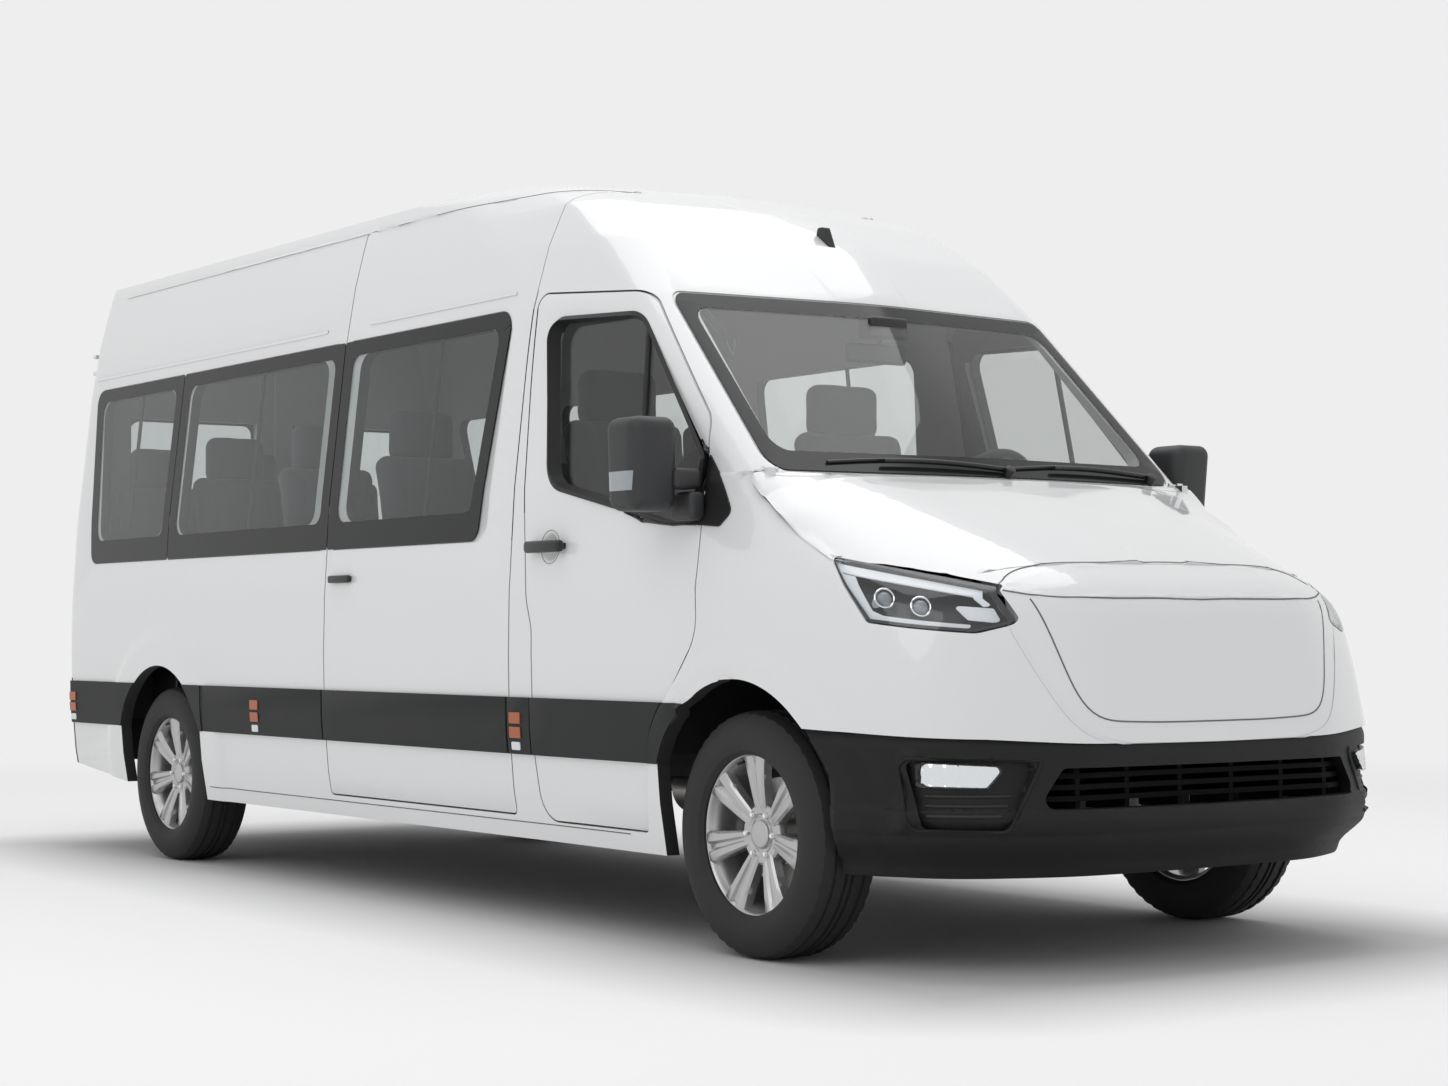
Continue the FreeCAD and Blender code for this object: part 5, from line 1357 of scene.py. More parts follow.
COVER_WALL, FRAME_LIFT, FRAME_WALL, FRAME_WIDTH = 0.002, -0.0025, 0.006, 0.009
GUIDE_WALL, BOWL_SIDE = 0.004, 0.002
BOWL_LIFT, BOWL_WALL, BOWL_RIM, BOWL_DEPTH = -0.060, 0.003, -0.004, 0.058
EYES = ((0.505, 1.022), (0.598, 1.004))
EYE_LIFT, EYE_RADIUS, EYE_SINK, EYE_SEED = -0.026, 0.0225, -0.010, 0.004
EYE_RING = [(-0.03, 0.024), (0.004, 0.024), (0.006, 0.027), (0.004, 0.030), (-0.03, 0.030)]


def lamp_layer(side, outline, lift, thickness, holes=()):
    """Sheet of the headlamp's shape, this far off its face, and the direction that face looks."""
    tree = target("headlamps")
    bm = bmesh.new()
    filled(bm, [[Vector((ax(x), 0, z)) for x, z in loop] for loop in (outline,) + tuple(holes)])
    gridded(bm, 0, LAMP_CELL)
    gridded(bm, 2, LAMP_CELL)
    for vert in bm.verts:
        hit = tree.ray_cast(Vector((vert.co.x, side * WIDEST, vert.co.z)), Vector((0, -side, 0)))
        if hit[0] is None:
            hit = tree.find_nearest(Vector((vert.co.x, side * LAMP_SIDE, vert.co.z)))
        vert.co = Vector(hit[0])
    bend(bm, SKINS["change"])
    faced_out(bm)
    if facing_of(bm).dot(Vector((0.7, side, 0))) < 0:
        bmesh.ops.reverse_faces(bm, faces=bm.faces)
    facing = facing_of(bm).normalized()
    bmesh.ops.translate(bm, vec=facing * lift, verts=bm.verts)
    if thickness:
        walled(bm, thickness)
    return bm, facing


def headlamps():
    """Clear cover, black frame, dark bowl, light guides and two projectors."""
    outline = rounded(LAMP, 5)
    opening = rounded(inset(LAMP, FRAME_WIDTH), 5)
    for side, name in SIDES:
        cover, _ = lamp_layer(side, outline, 0.0, COVER_WALL)
        piece("lamp_cover_" + name, cover, "lens", "van", ["headlamps"], 60)
        rim, _ = lamp_layer(side, outline, FRAME_LIFT, FRAME_WALL, (opening,))
        trim("lamp_frame_" + name, rim, "gloss black")
        bowl, facing = lamp_layer(side, outline, BOWL_LIFT, BOWL_WALL)
        wall, _ = lamp_layer(side, outline, BOWL_RIM, 0)
        edges = [e for e in wall.edges if len(e.link_faces) == 1]
        made = bmesh.ops.extrude_edge_only(wall, edges=edges)["geom"]
        moved = [v for v in made if isinstance(v, bmesh.types.BMVert)]
        bmesh.ops.translate(wall, vec=-facing * BOWL_DEPTH, verts=moved)
        front = [f for f in wall.faces if f.normal.dot(facing) > 0.5]
        bmesh.ops.delete(wall, geom=front, context="FACES")
        faced_out(wall)
        walled(wall, BOWL_SIDE)
        moved_in(bowl, wall)
        trim("lamp_bowl_" + name, bowl, "lamp bowl")
        guides = bmesh.new()
        for shape, lift in GUIDES:
            moved_in(guides, lamp_layer(side, rounded(shape, 3), lift, GUIDE_WALL)[0])
        piece("lamp_guides_" + name, guides, "guide", "van", (), 40)
        rings, eyes = bmesh.new(), bmesh.new()
        axis = (facing + Vector((0.8, 0, 0))).normalized()
        turn = Vector((0, 1, 0)).rotation_difference(axis).to_matrix()
        for x, z in EYES:
            corners = [(x + i * EYE_SEED, z + k * EYE_SEED) for i, k in ((-1, -1), (1, -1), (1, 1), (-1, 1))]
            seed, _ = lamp_layer(side, corners, EYE_LIFT, 0)
            spot = middle_of(seed)
            seed.free()
            ball = bmesh.new()
            bmesh.ops.create_uvsphere(ball, u_segments=28, v_segments=16, radius=EYE_RADIUS)
            for mesh, into, sink in ((turned(EYE_RING, (0, 0, 0), 32), rings, 0), (ball, eyes, EYE_SINK)):
                bmesh.ops.rotate(mesh, cent=(0, 0, 0), matrix=turn, verts=mesh.verts)
                bmesh.ops.translate(mesh, vec=spot + axis * sink, verts=mesh.verts)
                moved_in(into, mesh)
        piece("lamp_rings_" + name, rings, "bright", "van", (), 50)
        piece("lamp_eyes_" + name, eyes, "eye", "van", (), 80)


FOG_SHIFT = 0.0095  # back and inwards, behind the bumper's rolled face
FOG_MIDDLE, FOG_SHRINK = (0.735, 0.73, 0.543), 0.90  # the reflector is the cover's shape, drawn smaller
FOG_CELL, FOG_WAVE, FOG_RIPPLE = 0.012, 260, 0.003


def fog_lamps():
    """Clear cover and rippled reflector of each fog lamp."""
    for side, name in SIDES:
        bm = merged_copy("fog_lamps")
        bmesh.ops.delete(bm, geom=[v for v in bm.verts if v.co.y * side < 0], context="VERTS")
        bmesh.ops.translate(bm, vec=(-FOG_SHIFT, -side * FOG_SHIFT, 0), verts=bm.verts)
        piece("fog_cover_" + name, bm.copy(), "lens", "van", ["fog_lamps"], 30, 0.0015)
        middle = Vector((ax(FOG_MIDDLE[0]), side * FOG_MIDDLE[1], FOG_MIDDLE[2]))
        for vert in bm.verts:
            vert.co = middle + (vert.co - middle) * FOG_SHRINK
        cut_cells(bm, FOG_CELL, (ax(0.5), -WIDE, 0.4), (ax(1.0), WIDE, 0.65))
        for vert in bm.verts:
            wave = math.sin(vert.co.y * FOG_WAVE) * math.sin(vert.co.z * FOG_WAVE)
            vert.co += Vector((0.7, side * 0.7, 0)) * (FOG_RIPPLE * wave)
        piece("fog_reflector_" + name, bm, "bright", "van", (), 25)


MARKERS, MARKER_WIDER = (-1.190, -3.110, -4.930), 1.3
REFLECTOR_HALF, REFLECTOR_LOW, REFLECTOR_HIGH, REFLECTOR_CORNER = 0.026, 0.548, 0.574, 0.005


def tail_lamps():
    """Tail lamps, amber markers and the pale reflector under each marker."""
    piece("tail_lamps_lenses", merged_copy("tail_lamps"), "red", "van", ["tail_lamps"], 30, 0.003)
    bm = merged_copy("marker_lamps")
    for vert in bm.verts:
        near = min((ax(x) for x in MARKERS), key=lambda x: abs(x - vert.co.x))
        vert.co.x = near + (vert.co.x - near) * MARKER_WIDER
    piece("marker_lamps_lenses", bm, "amber", "van", ["marker_lamps"], 30, 0.003)
    for side, name in SIDES:
        tree = target("side_strips", "door_trim_" + name, "side_panel_" + name)
        bm = bmesh.new()
        for x in MARKERS:
            outline = rounded([(x + i * REFLECTOR_HALF, z, REFLECTOR_CORNER) for i, z in (
                (-1, REFLECTOR_LOW), (1, REFLECTOR_LOW), (1, REFLECTOR_HIGH), (-1, REFLECTOR_HIGH))], 3)
            moved_in(bm, patch(tree, [outline], side_place(side), (0, -side, 0), 0.003, 0.004))
        piece("side_reflectors_" + name, bm, "white lens", "van", (), 40, 0.001)


# ---- mirrors, handles, wipers, antenna ----
def soft_block(low, high, bevel, segments=5):
    """Rounded block between two corners, whose x is measured from the front axle."""
    bm = bmesh.new()
    block(bm, (ax(low[0]), low[1], low[2]), (ax(high[0]), high[1], high[2]), bevel, segments)
    return bm


# each as its two corners, on the left side, and its rounding
MIRROR_HEAD = (-0.402, 1.010, 1.272), (-0.228, 1.1718, 1.545), 0.038, 6
MIRROR_GLASS = (-0.4035, 1.034, 1.306), (-0.398, 1.146, 1.512), 0.002, 2
MIRROR_STALK = (-0.322, 0.935, 1.338), (-0.232, 1.030, 1.398), 0.016, 4
MIRROR_FOOT = (-0.335, 0.930, 1.246), (-0.222, 0.985, 1.330), 0.016, 4
HEAD_FRONT, HEAD_LEAN, HEAD_NARROW = -0.29, 0.020, 0.010  # its foot is slimmer from here on, and all round
HEAD_BULGE, HEAD_MIDDLE, HEAD_HALF = 0.012, 1.09, 0.08
# planes that leave the wrapped lens of the turn lamp: what lies beyond each is cut away
LENS_CUTS = (((0, 1.157, 0), (0, -1, 0)), ((0, 0, 1.386), (0, 0, 1)), ((0, 0, 1.330), (0, 0, -1)),
             ((ax(-0.385), 0, 0), (-1, 0, 0)))
LENS_STANDS, LENS_WALL = 0.0008, 0.002


def mirror_head():
    """Rounded block with the lean and bulge of the mirror's head."""
    bm = soft_block(*MIRROR_HEAD)
    foot, top = MIRROR_HEAD[0][2], MIRROR_HEAD[1][2]
    for vert in bm.verts:
        rise = (vert.co.z - foot) / (top - foot)
        if vert.co.x > ax(HEAD_FRONT):
            bulge = HEAD_BULGE * ((vert.co.y - HEAD_MIDDLE) / HEAD_HALF) ** 2
            vert.co.x -= HEAD_LEAN * (1 - rise) ** 2 + bulge
        vert.co.y -= HEAD_NARROW * (1 - rise)
    return bm


def mirrors():
    """Mirror head with its glass and turn lamp, on a stalk and a foot."""
    for side, name in SIDES:
        head = mirror_head()
        lens = head.copy()
        for spot, out in LENS_CUTS:
            cut_off(lens, spot, out)
        lens.normal_update()
        for vert in lens.verts:
            vert.co += vert.normal * LENS_STANDS
        parts = [head, lens] + [soft_block(*sizes) for sizes in (MIRROR_GLASS, MIRROR_STALK, MIRROR_FOOT)]
        if side < 0:
            parts = [mirrored(bm) for bm in parts]
        head, lens, glass, stalk, foot = parts
        lens.normal_update()
        walled(lens, LENS_WALL)
        moved_in(head, stalk)
        moved_in(head, foot)
        body = "door_" + name
        trim("mirror_shell_" + name, head, "mirror shell", body, ["mirror_" + name])
        piece("mirror_face_" + name, glass, "mirror", body, (), 40)
        piece("mirror_lamp_" + name, lens, "eye", body, (), 40)


DOOR_GRIP = (-1.118, 0.985, 1.172), (-0.908, 1.013, 1.210), 0.012, 4
GRIP_MIDDLE, GRIP_HALF, GRIP_BOW = -1.0125, 0.0975, 0.006
SLIDE_GRIP = (-2.50, 0.985, 1.10), (-2.34, 1.000, 1.127), 0.007, 4
POST_IN, POST_OUT, POST_BEVEL = 0.938, 0.992, 0.005


def posts(bm, stations, half, low, high):
    """The two feet that carry a handle."""
    for x in stations:
        moved_in(bm, soft_block((x - half, POST_IN, low), (x + half, POST_OUT, high), POST_BEVEL, 3))


def handles():
    """Door handles with the door's part of the rub strip, the sliding door's and the rear handle."""
    for side, name in SIDES:
        bm = soft_block(*DOOR_GRIP)
        for vert in bm.verts:
            along = (vert.co.x - ax(GRIP_MIDDLE)) / GRIP_HALF
            vert.co.y += GRIP_BOW * (1 - along ** 2)
        posts(bm, (-1.088, -0.938), 0.014, 1.181, 1.201)
        strip = merged_copy("door_trim_" + name)
        bmesh.ops.delete(strip, geom=[v for v in strip.verts if v.co.z > 0.9], context="VERTS")
        if side < 0:
            bm = mirrored(bm)
        body = "door_" + name
        trim("door_handle_" + name, bm, "satin black", body)
        trim("door_strip_" + name, strip, "trim", body, ["door_trim_" + name], bevel=0.003)
    bm = soft_block(*SLIDE_GRIP)
    posts(bm, (-2.48, -2.36), 0.012, 1.104, 1.123)
    trim("slide_handle", mirrored(bm), "satin black")
    bm = bmesh.new()
    block(bm, (REAR_FACE - 0.012, -0.16, 0.93), (REAR_FACE + 0.006, -0.03, 0.965), 0.006, 4)
    trim("rear_handle", bm, "satin black", "rear_door_right")
    trim("side_strips_trim", merged_copy("side_strips"), "trim", stands_for=["side_strips"], bevel=0.003)


WIPERS, WIPER_PARTS = ((-0.60, 0.05), (0.08, 0.70)), 10  # y of the free end and of the pivot
BLADE_Z, BLADE_BOW, ARM_DROP = 1.420, 0.016, 0.004
BLADE_LIFT, ARM_LIFT, ARM_BOW = 0.006, 0.016, 0.008
ARM_START = 3  # the arm leaves off this many parts early


def wipers():
    """Two curved blades, each under its arm, across the foot of the windscreen."""
    tree = target("windscreen")
    bm = bmesh.new()
    for y0, y1 in WIPERS:
        blade, arm = [], []
        for k in range(WIPER_PARTS + 1):
            y, bow = y0 + (y1 - y0) * k / WIPER_PARTS, math.sin(math.pi * k / WIPER_PARTS)
            z = BLADE_Z + BLADE_BOW * bow
            blade.append(on_front(tree, y, z, BLADE_LIFT))
            arm.append(on_front(tree, y, z - ARM_DROP, ARM_LIFT + ARM_BOW * bow))
        ring_bar(bm, blade, 0.0055, 6)
        ring_bar(bm, arm[ARM_START:], 0.0065, 8)
        drum(bm, on_front(tree, y1, 1.405, 0.012), (1, 0, 1.0), 0.016, 0.036, 20, 0.003)
    trim("wiper_blades", bm, "satin black", stands_for=["wipers"], angle=50)


def antenna():
    """Fin on the roof."""
    trim("antenna_fin", merged_copy("antenna"), "gloss black", stands_for=["antenna"], angle=30, bevel=0.004)


# ---- cabin ----
PRESSURE, CLOTH_FRAMES = 4.0, 20


def applied(obj):
    """Replace an object's mesh by what its modifiers make of it."""
    made = bpy.data.meshes.new_from_object(obj.evaluated_get(bpy.context.evaluated_depsgraph_get()))
    obj.modifiers.clear()
    obj.data = made


def puffed(bm, cell, reach):
    """Swell a closed form as filled cloth does, holding each point within reach of its start."""
    data = bpy.data.meshes.new("cloth")
    bm.to_mesh(data)
    bm.free()
    obj = bpy.data.objects.new("cloth", data)
    scene = bpy.context.scene
    scene.collection.objects.link(obj)
    remesh = obj.modifiers.new("remesh", "REMESH")
    remesh.mode = "VOXEL"
    remesh.voxel_size = cell
    applied(obj)
    start = [v.co.copy() for v in obj.data.vertices]
    cloth = obj.modifiers.new("cloth", "CLOTH")
    cloth.settings.use_pressure = True
    cloth.settings.uniform_pressure_force = PRESSURE
    cloth.settings.effector_weights.gravity = 0.0
    for number in range(1, CLOTH_FRAMES + 1):
        scene.frame_set(number)
    applied(obj)
    scene.frame_set(1)
    out = bmesh.new()
    out.from_mesh(obj.data)
    for vert, before in zip(out.verts, start):
        move = vert.co - before
        if move.length > reach:
            vert.co = before + move.normalized() * reach
    bpy.data.objects.remove(obj)
    return out


# forms of the smallest seat, each as two corners, rounding and segments, then the cloth's cell and reach
CUSHION = (0.012, -0.203, 0.012), (0.488, 0.203, 0.118), 0.035, 4, 0.014, 0.014
BACKREST = (0.012, -0.203, 0.012), (0.098, 0.203, 0.548), 0.035, 4, 0.014, 0.014
HEADREST = (0.006, -0.148, 0.006), (0.100, 0.148, 0.196), 0.042, 4, 0.012, 0.012
SEAT_WIDTH, BACK_HEIGHT = 0.43, 0.548
SEWN_LINE, SEWN_DEPTH, SEWN_WIDTH = 0.115, 0.007, 0.010
ROWS, ROW_TOP = (-2.25, -3.05, -3.85, -4.65), 1.70
ROW_SEATS = (("left", 0.650), ("right", -0.650), ("middle", -0.205))
CAB_X, CAB_Y, CAB_WIDTH, CAB_TOP = -1.18, 0.48, 0.50, 1.77
FLOOR_Z, LEAN = 0.60, math.radians(12)
BACK_FOOT, REST_DROP, ROW_REST = 1.072, 0.765, 0.84


def pad_form(low, high, bevel, segments, cell, reach):
    """A rounded block swollen into a pad."""
    bm = bmesh.new()
    block(bm, low, high, bevel, segments)
    return puffed(bm, cell, reach)


def sewn(bm, axis):
    """Press a stitched line into each half of a pad's face."""
    bm.normal_update()
    for vert in bm.verts:
        if vert.normal[axis] > 0.5:
            across = (abs(vert.co.y) - SEWN_LINE) / SEWN_WIDTH
            vert.co[axis] -= SEWN_DEPTH * math.exp(-across ** 2)


def seat_places():
    """Every seat as its name, x from the front axle, y, width, top and the CAD node it stands for."""
    places = []
    for row, x in enumerate(ROWS):
        for seat, y in ROW_SEATS:
            node = "passenger_seats_left" if seat == "left" else "passenger_seats_right"
            places.append(("row_%d_%s" % (row + 1, seat), x, y, SEAT_WIDTH, ROW_TOP, node))
    return places + [("driver", CAB_X, CAB_Y, CAB_WIDTH, CAB_TOP, "cab_seats"),
                     ("passenger", CAB_X, -CAB_Y, CAB_WIDTH, CAB_TOP, "cab_seats")]


def seats():
    """Padded cushions, backs and head restraints over painted feet; one form of each makes all seats."""
    cushion, back, rest = pad_form(*CUSHION), pad_form(*BACKREST), pad_form(*HEADREST)
    sewn(cushion, 2)
    sewn(back, 0)
    feet = bmesh.new()
    for name, x, y, width, top, node in seat_places():
        base = Vector((ax(x), y, FLOOR_Z))
        wide = width / SEAT_WIDTH
        seat_bm = cushion.copy()
        for vert in seat_bm.verts:
            vert.co = base + Vector((vert.co.x - 0.03, vert.co.y * wide, vert.co.z + 0.30))
        back_bm = back.copy()
        tall = (top - BACK_FOOT) / BACK_HEIGHT * 0.98
        shift = (Matrix.Translation(base + Vector((0, 0, 0.40))) @ Matrix.Rotation(-LEAN, 4, "Y")
                 @ Matrix.Translation((-0.10, 0, -0.02)))
        for vert in back_bm.verts:
            vert.co = shift @ Vector((vert.co.x, vert.co.y * wide, vert.co.z * tall))
        rest_x = -0.04 - math.tan(LEAN) * (top - 1.0)
        rest_bm = rest.copy()
        for vert in rest_bm.verts:
            across = vert.co.y * (ROW_REST if name.startswith("row") else 1.0)
            vert.co = base + Vector((rest_x - 0.055 + vert.co.x, across, vert.co.z + top - REST_DROP))
        moved_in(back_bm, rest_bm)
        made = piece("cushion_" + name, seat_bm, "fabric", "van", [node], 60)
        made = piece("backrest_" + name, back_bm, "fabric", "van", (), 60)
        for d in (-0.06, 0.06):
            drum(feet, base + Vector((rest_x, d, top - 0.78)), (0, 0, 1), 0.007, 0.16, 12)
        half = width / 2
        for low, high, margin in (((0.02, 0), (0.40, 0.31), 0.05), ((-0.02, 0.27), (0.44, 0.315), 0.01)):
            block(feet, base + Vector((low[0], margin - half, low[1])),
                  base + Vector((high[0], half - margin, high[1])), 0.012)
    for form in (cushion, back, rest):
        form.free()
    piece("seat_feet", feet, "satin black", "van", (), 40)


HOOD_OF_DIALS = (-0.50, 0.24, 1.30), (-0.27, 0.66, 1.415), 0.045, 5
DASH_MIDDLE = (-0.47, -0.20, 1.02), (-0.40, 0.16, 1.37), 0.03, 5
WHEEL_RADIUS, WHEEL_GRIP = 0.185, 0.0165
WHEEL_ARM = (0.03, -0.020, -0.030), (0.180, 0.020, -0.010), 0.006, 3
WHEEL_HUB = ((0, 0, -0.024), (0, 0, 1), 0.075, 0.030, 40, 0.010)
WHEEL_PLACE, WHEEL_LOOKS = (-0.575, 0.45, 1.345), (-0.230, 0, 0.130)
COLUMN = (-0.33, 0.45, 1.20), (-0.56, 0.45, 1.33)


def cabin():
    """Dashboard with its dial hood and middle console, the steering wheel and its column."""
    piece("dash_panel", merged_copy("dashboard"), "card", "van", ["dashboard"], 40, 0.006)
    bm = soft_block(*HOOD_OF_DIALS)
    moved_in(bm, soft_block(*DASH_MIDDLE))
    piece("instrument_hood", bm, "card", "van", (), 40)
    bm = bmesh.new()
    place = Matrix.Translation((WHEEL_RADIUS, 0, 0)) @ Matrix.Rotation(math.pi / 2, 4, "X")
    bmesh.ops.create_circle(bm, segments=14, radius=WHEEL_GRIP, matrix=place)
    bmesh.ops.spin(bm, geom=bm.verts[:] + bm.edges[:], cent=(0, 0, 0), axis=(0, 0, 1), angle=math.tau,
                   steps=64, use_merge=True)
    bmesh.ops.remove_doubles(bm, verts=bm.verts, dist=SAME_SPOT)
    for turn in (0.0, math.pi, -math.pi / 2):
        arm = bmesh.new()
        block(arm, *WHEEL_ARM)
        bmesh.ops.rotate(arm, cent=(0, 0, 0), matrix=Matrix.Rotation(turn, 3, "Z"), verts=arm.verts)
        moved_in(bm, arm)
    drum(bm, *WHEEL_HUB)
    faced_out(bm)
    axis = Vector(WHEEL_LOOKS).normalized()
    turn = Matrix((Vector((0, 1, 0)), axis.cross(Vector((0, 1, 0))), axis)).transposed()
    bmesh.ops.rotate(bm, cent=(0, 0, 0), matrix=turn, verts=bm.verts)
    x, y, z = WHEEL_PLACE
    bmesh.ops.translate(bm, vec=(ax(x), y, z), verts=bm.verts)
    column = bmesh.new()
    ring_bar(column, [Vector((ax(x), y, z)) for x, y, z in COLUMN], 0.03, 20)
    moved_in(bm, column)
    piece("wheel_of_steering", bm, "satin black", "van", ["steering_wheel"], 40)


# structure and running gear keep their built shape
PLAIN_NODES = {
    "trim": ("rear_bumper",), "floor": ("floor_pan",), "underbody": ("arch_liners", "chassis_frame"),
    "cast": ("front_suspension", "rear_axle", "driveline", "engine_block", "knuckle_left", "knuckle_right"),
    "steel": ("exhaust",), "satin black": ("fuel_tank",), "slats": ("lower_grille",)}


def plain_nodes():
    """Finishes of the CAD nodes that are shown as they are."""
    for look, nodes in PLAIN_NODES.items():
        for node in nodes:
            NODES[node].data.materials.clear()
            NODES[node].data.materials.append(MATERIALS[look])


# ---- stage ----
FLOOR_HALF, FLOOR_COLOUR = 60.0, (0.69, 0.69, 0.69, 1)
SHADOW_BOX = (3.0, 1.0, 0.0)  # half sizes of the floor under the vehicle, where no glow is added


def stage(settings):
    """Pale floor that fades into the background, soft lamps and the camera."""
    scene = bpy.context.scene
    scene.view_settings.view_transform = "Standard"
    bm = bmesh.new()
    bmesh.ops.create_grid(bm, x_segments=1, y_segments=1, size=FLOOR_HALF)
    data = bpy.data.meshes.new("studio_floor")
    bm.to_mesh(data)
    bm.free()
    floor = bpy.data.objects.new("studio_floor", data)
    scene.collection.objects.link(floor)
    data.materials.append(floor_material(settings))
    studio_world(scene, settings.background, settings.ambient)
    lamp("key", (4.5, -6.5, 6.5), (1.0, 0, 1.0), 6.0, settings.key_watts)
    lamp("top", (-0.5, 0.5, 7.5), (-0.5, 0, 0), 8.0, settings.top_watts)
    camera(scene, settings)


def floor_material(settings):
    """Pale and matt; it glows a little away from the vehicle, painted light that leaves a painted shadow round the
    vehicle, and fades to the background further out.
    """
    back = settings.background
    material, nodes, links = new_material("studio floor")
    shader = nodes["Principled BSDF"]
    filled_in(shader, {"Base Color": FLOOR_COLOUR, "Roughness": 0.9, "Specular IOR Level": 0.1,
                       "Emission Color": (1, 1, 1, 1)})
    glow = added(nodes, "Emission", {"Color": (back, back, back, 1)})
    place = added(nodes, "TexCoord")
    reach = added(nodes, "VectorMath", operation="LENGTH")
    size = added(nodes, "VectorMath", operation="ABSOLUTE")
    beyond = added(nodes, "VectorMath", {1: SHADOW_BOX}, operation="SUBTRACT")
    outside = added(nodes, "VectorMath", {1: (0, 0, 0)}, operation="MAXIMUM")
    away = added(nodes, "VectorMath", operation="LENGTH")
    # painted light: the glow grows from nothing at the box under the vehicle, so the floor is darker near it
    lift = added(nodes, "MapRange", {"From Max": settings.painted_glow_reach, "To Max": settings.floor_painted_glow})
    fade = added(nodes, "MapRange", {"From Min": settings.fade_start, "From Max": settings.fade_end},
                 interpolation_type="SMOOTHSTEP")
    mix = added(nodes, "MixShader")
    joined(links, (place, "Object", size, 0), (size, "Vector", beyond, 0), (beyond, "Vector", outside, 0),
           (outside, "Vector", away, 0), (away, "Value", lift, "Value"),
           (lift, "Result", shader, "Emission Strength"), (place, "Object", reach, 0),
           (reach, "Value", fade, "Value"), (fade, "Result", mix, "Fac"),
           (shader, "BSDF", mix, 1), (glow, "Emission", mix, 2),
           (mix, "Shader", nodes["Material Output"], "Surface"))
    return material


def studio_world(scene, back, ambient):
    """White light from all round; the camera, metal and glass see the background's tone instead."""
    world = bpy.data.worlds.new("studio")
    world.use_nodes = True
    scene.world = world
    nodes, links = world.node_tree.nodes, world.node_tree.links
    light = nodes["Background"]
    filled_in(light, {"Color": (1, 1, 1, 1), "Strength": ambient})
    seen = added(nodes, "Background", {"Color": (back, back, back, 1)})
    path = added(nodes, "LightPath")
    pick, also = [added(nodes, "Math", operation="MAXIMUM") for _ in range(2)]
    mix = added(nodes, "MixShader")
    joined(links, (path, "Is Camera Ray", pick, 0), (path, "Is Glossy Ray", pick, 1),
           (pick, "Value", also, 0), (path, "Is Transmission Ray", also, 1), (also, "Value", mix, "Fac"),
           (light, "Background", mix, 1), (seen, "Background", mix, 2),
           (mix, "Shader", nodes["World Output"], "Surface"))


def lamp(name, place, aim, size, watts):
    """Round soft lamp at a place, turned to what it is aimed at."""
    light = bpy.data.lights.new(name, "AREA")
    light.shape = "DISK"
    light.size = size
    light.energy = watts
    obj = bpy.data.objects.new(name, light)
    obj.location = place
    obj.rotation_euler = (Vector(aim) - Vector(place)).to_track_quat("-Z", "Y").to_euler()
    bpy.context.scene.collection.objects.link(obj)


def camera(scene, settings):
    """Camera low ahead of the right front corner."""
    data = bpy.data.cameras.new("camera")
    data.sensor_width = 36.0
    data.lens = settings.lens
    data.clip_end = 200.0
    obj = bpy.data.objects.new("camera", data)
    place = Vector((FRONT_AXLE, 0, 0)) + Vector(settings.camera_place)
    heading, pitch = settings.camera_heading, settings.camera_pitch
    level = math.cos(pitch)
    ahead = Vector((math.cos(heading) * level, math.sin(heading) * level, math.sin(pitch)))
    turn = ahead.to_track_quat("-Z", "Y").to_matrix() @ Matrix.Rotation(-settings.camera_roll, 3, "Z")
    obj.matrix_world = Matrix.Translation(place) @ turn.to_4x4()
    scene.collection.objects.link(obj)
    scene.camera = obj


# ---- the add-on's settings ----
class MinibusLooks(bpy.types.PropertyGroup):
    """Colours of the vehicle"""
    paint_colour: bpy.props.FloatVectorProperty(
        name="Paint", description="Colour of the painted panels", subtype="COLOR", default=(0.80, 0.81, 0.82))
    trim_colour: bpy.props.FloatVectorProperty(
        name="Trim", description="Colour of the rear bumper and the rub strips", subtype="COLOR",
        default=(0.019, 0.020, 0.021))
    bumper_colour: bpy.props.FloatVectorProperty(
        name="Bumper", description="Colour of the front bumper", subtype="COLOR",
        default=(0.012, 0.0123, 0.013))
    glass_tint: bpy.props.FloatVectorProperty(
        name="Glass tint", description="What the passenger windows let through", subtype="COLOR",
        default=(0.865, 0.88, 0.88))


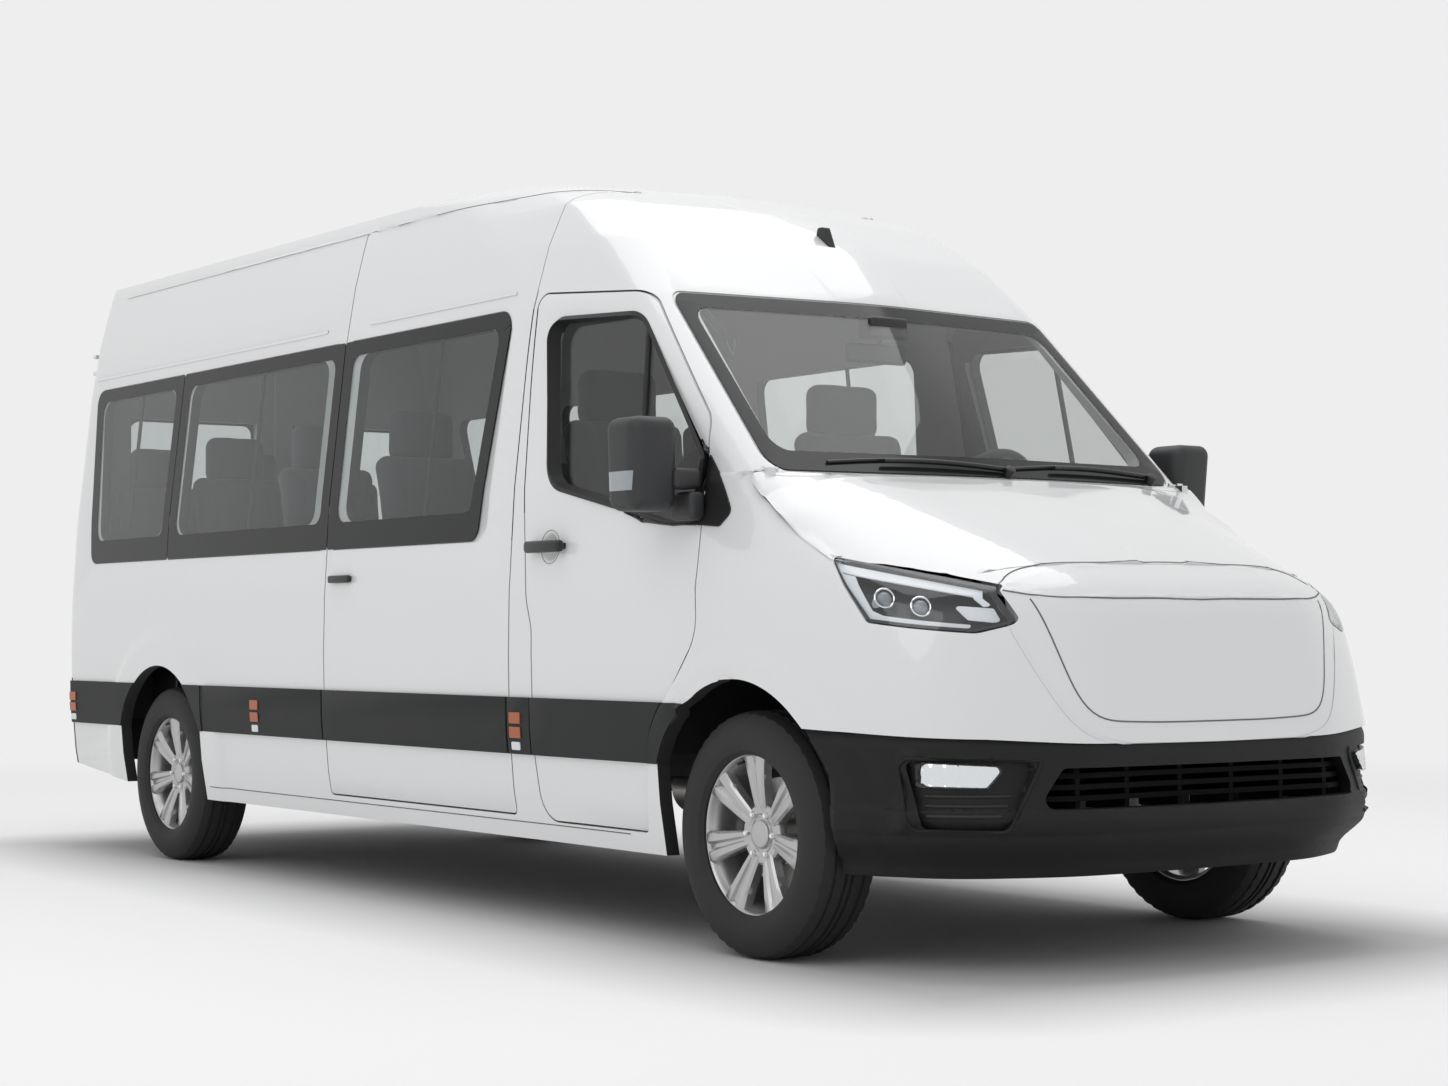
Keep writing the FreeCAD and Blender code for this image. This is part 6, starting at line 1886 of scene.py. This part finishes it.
class MinibusStage(bpy.types.PropertyGroup):
    """Studio round the vehicle"""
    background: bpy.props.FloatProperty(
        name="Background", description="Brightness of the backdrop", default=0.855, min=0, max=1)
    ambient: bpy.props.FloatProperty(
        name="Ambient", description="Light from all round", default=0.58, min=0)
    key_watts: bpy.props.FloatProperty(
        name="Key light", description="Large soft light at the front right", unit="POWER", default=90)
    top_watts: bpy.props.FloatProperty(
        name="Top light", description="Large soft light overhead", unit="POWER", default=215)
    # painted light on the floor, and how far from the vehicle it comes to full strength
    floor_painted_glow: bpy.props.FloatProperty(
        name="Floor lift", description="Glow added to the open floor", default=0.296, min=0)
    painted_glow_reach: bpy.props.FloatProperty(
        name="Lift reach", description="Distance from the vehicle at which the glow is full", unit="LENGTH",
        default=0.65)
    fade_start: bpy.props.FloatProperty(
        name="Fade start", description="Where the floor begins to fade", unit="LENGTH", default=5.0)
    fade_end: bpy.props.FloatProperty(
        name="Fade end", description="Where the floor is all background", unit="LENGTH", default=11.0)
    lens: bpy.props.FloatProperty(
        name="Lens", description="Focal length in millimetres on a 36 mm sensor", default=64.72)
    camera_place: bpy.props.FloatVectorProperty(
        name="Camera place", description="From the ground under the front axle", subtype="TRANSLATION",
        unit="LENGTH", default=(5.9588, -5.2619, 0.9283))
    camera_heading: bpy.props.FloatProperty(
        name="Heading", description="Direction the camera looks, from +X", subtype="ANGLE",
        default=math.radians(144.5824))
    camera_pitch: bpy.props.FloatProperty(
        name="Pitch", description="Tilt of the camera above level", subtype="ANGLE",
        default=math.radians(1.911))
    camera_roll: bpy.props.FloatProperty(
        name="Roll", description="Turn of the camera about its own axis", subtype="ANGLE",
        default=math.radians(0.167))


class MINIBUS_OT_finishes(bpy.types.Operator):
    """Make the paint, glass, plastic, metal, rubber and cloth finishes"""
    bl_idname = "minibus.finishes"
    bl_label = "Finishes"

    def execute(self, context):
        finishes(context.scene.minibus_looks)
        return {"FINISHED"}


class MINIBUS_OT_panels(bpy.types.Operator):
    """Dress the painted panels"""
    bl_idname = "minibus.panels"
    bl_label = "Painted panels"

    def execute(self, context):
        painted_panels()
        return {"FINISHED"}


class MINIBUS_OT_bumper(bpy.types.Operator):
    """Front bumper, the joint lines of the body and the ends of the rub strip"""
    bl_idname = "minibus.bumper"
    bl_label = "Bumper and joints"

    def execute(self, context):
        front_bumper()
        front_seams()
        side_lines()
        strip_ends()
        return {"FINISHED"}


class MINIBUS_OT_glass(bpy.types.Operator):
    """Side windows, windscreen, door windows and rear panes"""
    bl_idname = "minibus.glass"
    bl_label = "Glass"

    def execute(self, context):
        side_glass()
        screen_glass()
        door_windows()
        rear_glass()
        return {"FINISHED"}


class MINIBUS_OT_lamps(bpy.types.Operator):
    """Headlamps, fog lamps, tail lamps and markers"""
    bl_idname = "minibus.lamps"
    bl_label = "Lamps"

    def execute(self, context):
        headlamps()
        fog_lamps()
        tail_lamps()
        return {"FINISHED"}


class MINIBUS_OT_trim(bpy.types.Operator):
    """Mirrors, handles, strips, wipers and antenna"""
    bl_idname = "minibus.trim"
    bl_label = "Trim"

    def execute(self, context):
        mirrors()
        handles()
        wipers()
        antenna()
        return {"FINISHED"}


class MINIBUS_OT_wheels(bpy.types.Operator):
    """Tyres with tread and seven-spoke wheels"""
    bl_idname = "minibus.wheels"
    bl_label = "Wheels"

    def execute(self, context):
        wheels()
        return {"FINISHED"}


class MINIBUS_OT_cabin(bpy.types.Operator):
    """Dashboard, steering wheel and seats"""
    bl_idname = "minibus.cabin"
    bl_label = "Cabin"

    def execute(self, context):
        cabin()
        seats()
        return {"FINISHED"}


class MINIBUS_OT_under(bpy.types.Operator):
    """Finishes of the structure and the running gear"""
    bl_idname = "minibus.under"
    bl_label = "Underbody"

    def execute(self, context):
        plain_nodes()
        return {"FINISHED"}


class MINIBUS_OT_stage(bpy.types.Operator):
    """Set up the floor, lamps, background and camera"""
    bl_idname = "minibus.stage"
    bl_label = "Studio"

    def execute(self, context):
        stage(context.scene.minibus_stage)
        return {"FINISHED"}


STEPS = (MINIBUS_OT_finishes, MINIBUS_OT_panels, MINIBUS_OT_bumper, MINIBUS_OT_glass, MINIBUS_OT_lamps,
         MINIBUS_OT_trim, MINIBUS_OT_wheels, MINIBUS_OT_cabin, MINIBUS_OT_under, MINIBUS_OT_stage)


class MINIBUS_PT_panel(bpy.types.Panel):
    """Buttons for the minibus's pieces"""
    bl_label = "Minibus"
    bl_idname = "MINIBUS_PT_panel"
    bl_space_type = "VIEW_3D"
    bl_region_type = "UI"
    bl_category = "Minibus"

    def draw(self, context):
        for group in (context.scene.minibus_looks, context.scene.minibus_stage):
            for prop in group.bl_rna.properties:
                if prop.identifier not in ("rna_type", "name"):
                    self.layout.prop(group, prop.identifier)
        for operator in STEPS:
            self.layout.operator(operator.bl_idname)


CLASSES = (MinibusLooks, MinibusStage) + STEPS + (MINIBUS_PT_panel,)


def register():
    for cls in CLASSES:
        bpy.utils.register_class(cls)
    bpy.types.Scene.minibus_looks = bpy.props.PointerProperty(type=MinibusLooks)
    bpy.types.Scene.minibus_stage = bpy.props.PointerProperty(type=MinibusStage)


def unregister():
    del bpy.types.Scene.minibus_looks
    del bpy.types.Scene.minibus_stage
    for cls in reversed(CLASSES):
        bpy.utils.unregister_class(cls)


def main():
    register()
    for operator in STEPS:
        group, action = operator.bl_idname.split(".")
        getattr(getattr(bpy.ops, group), action)()


if __name__ == "__main__":
    main()
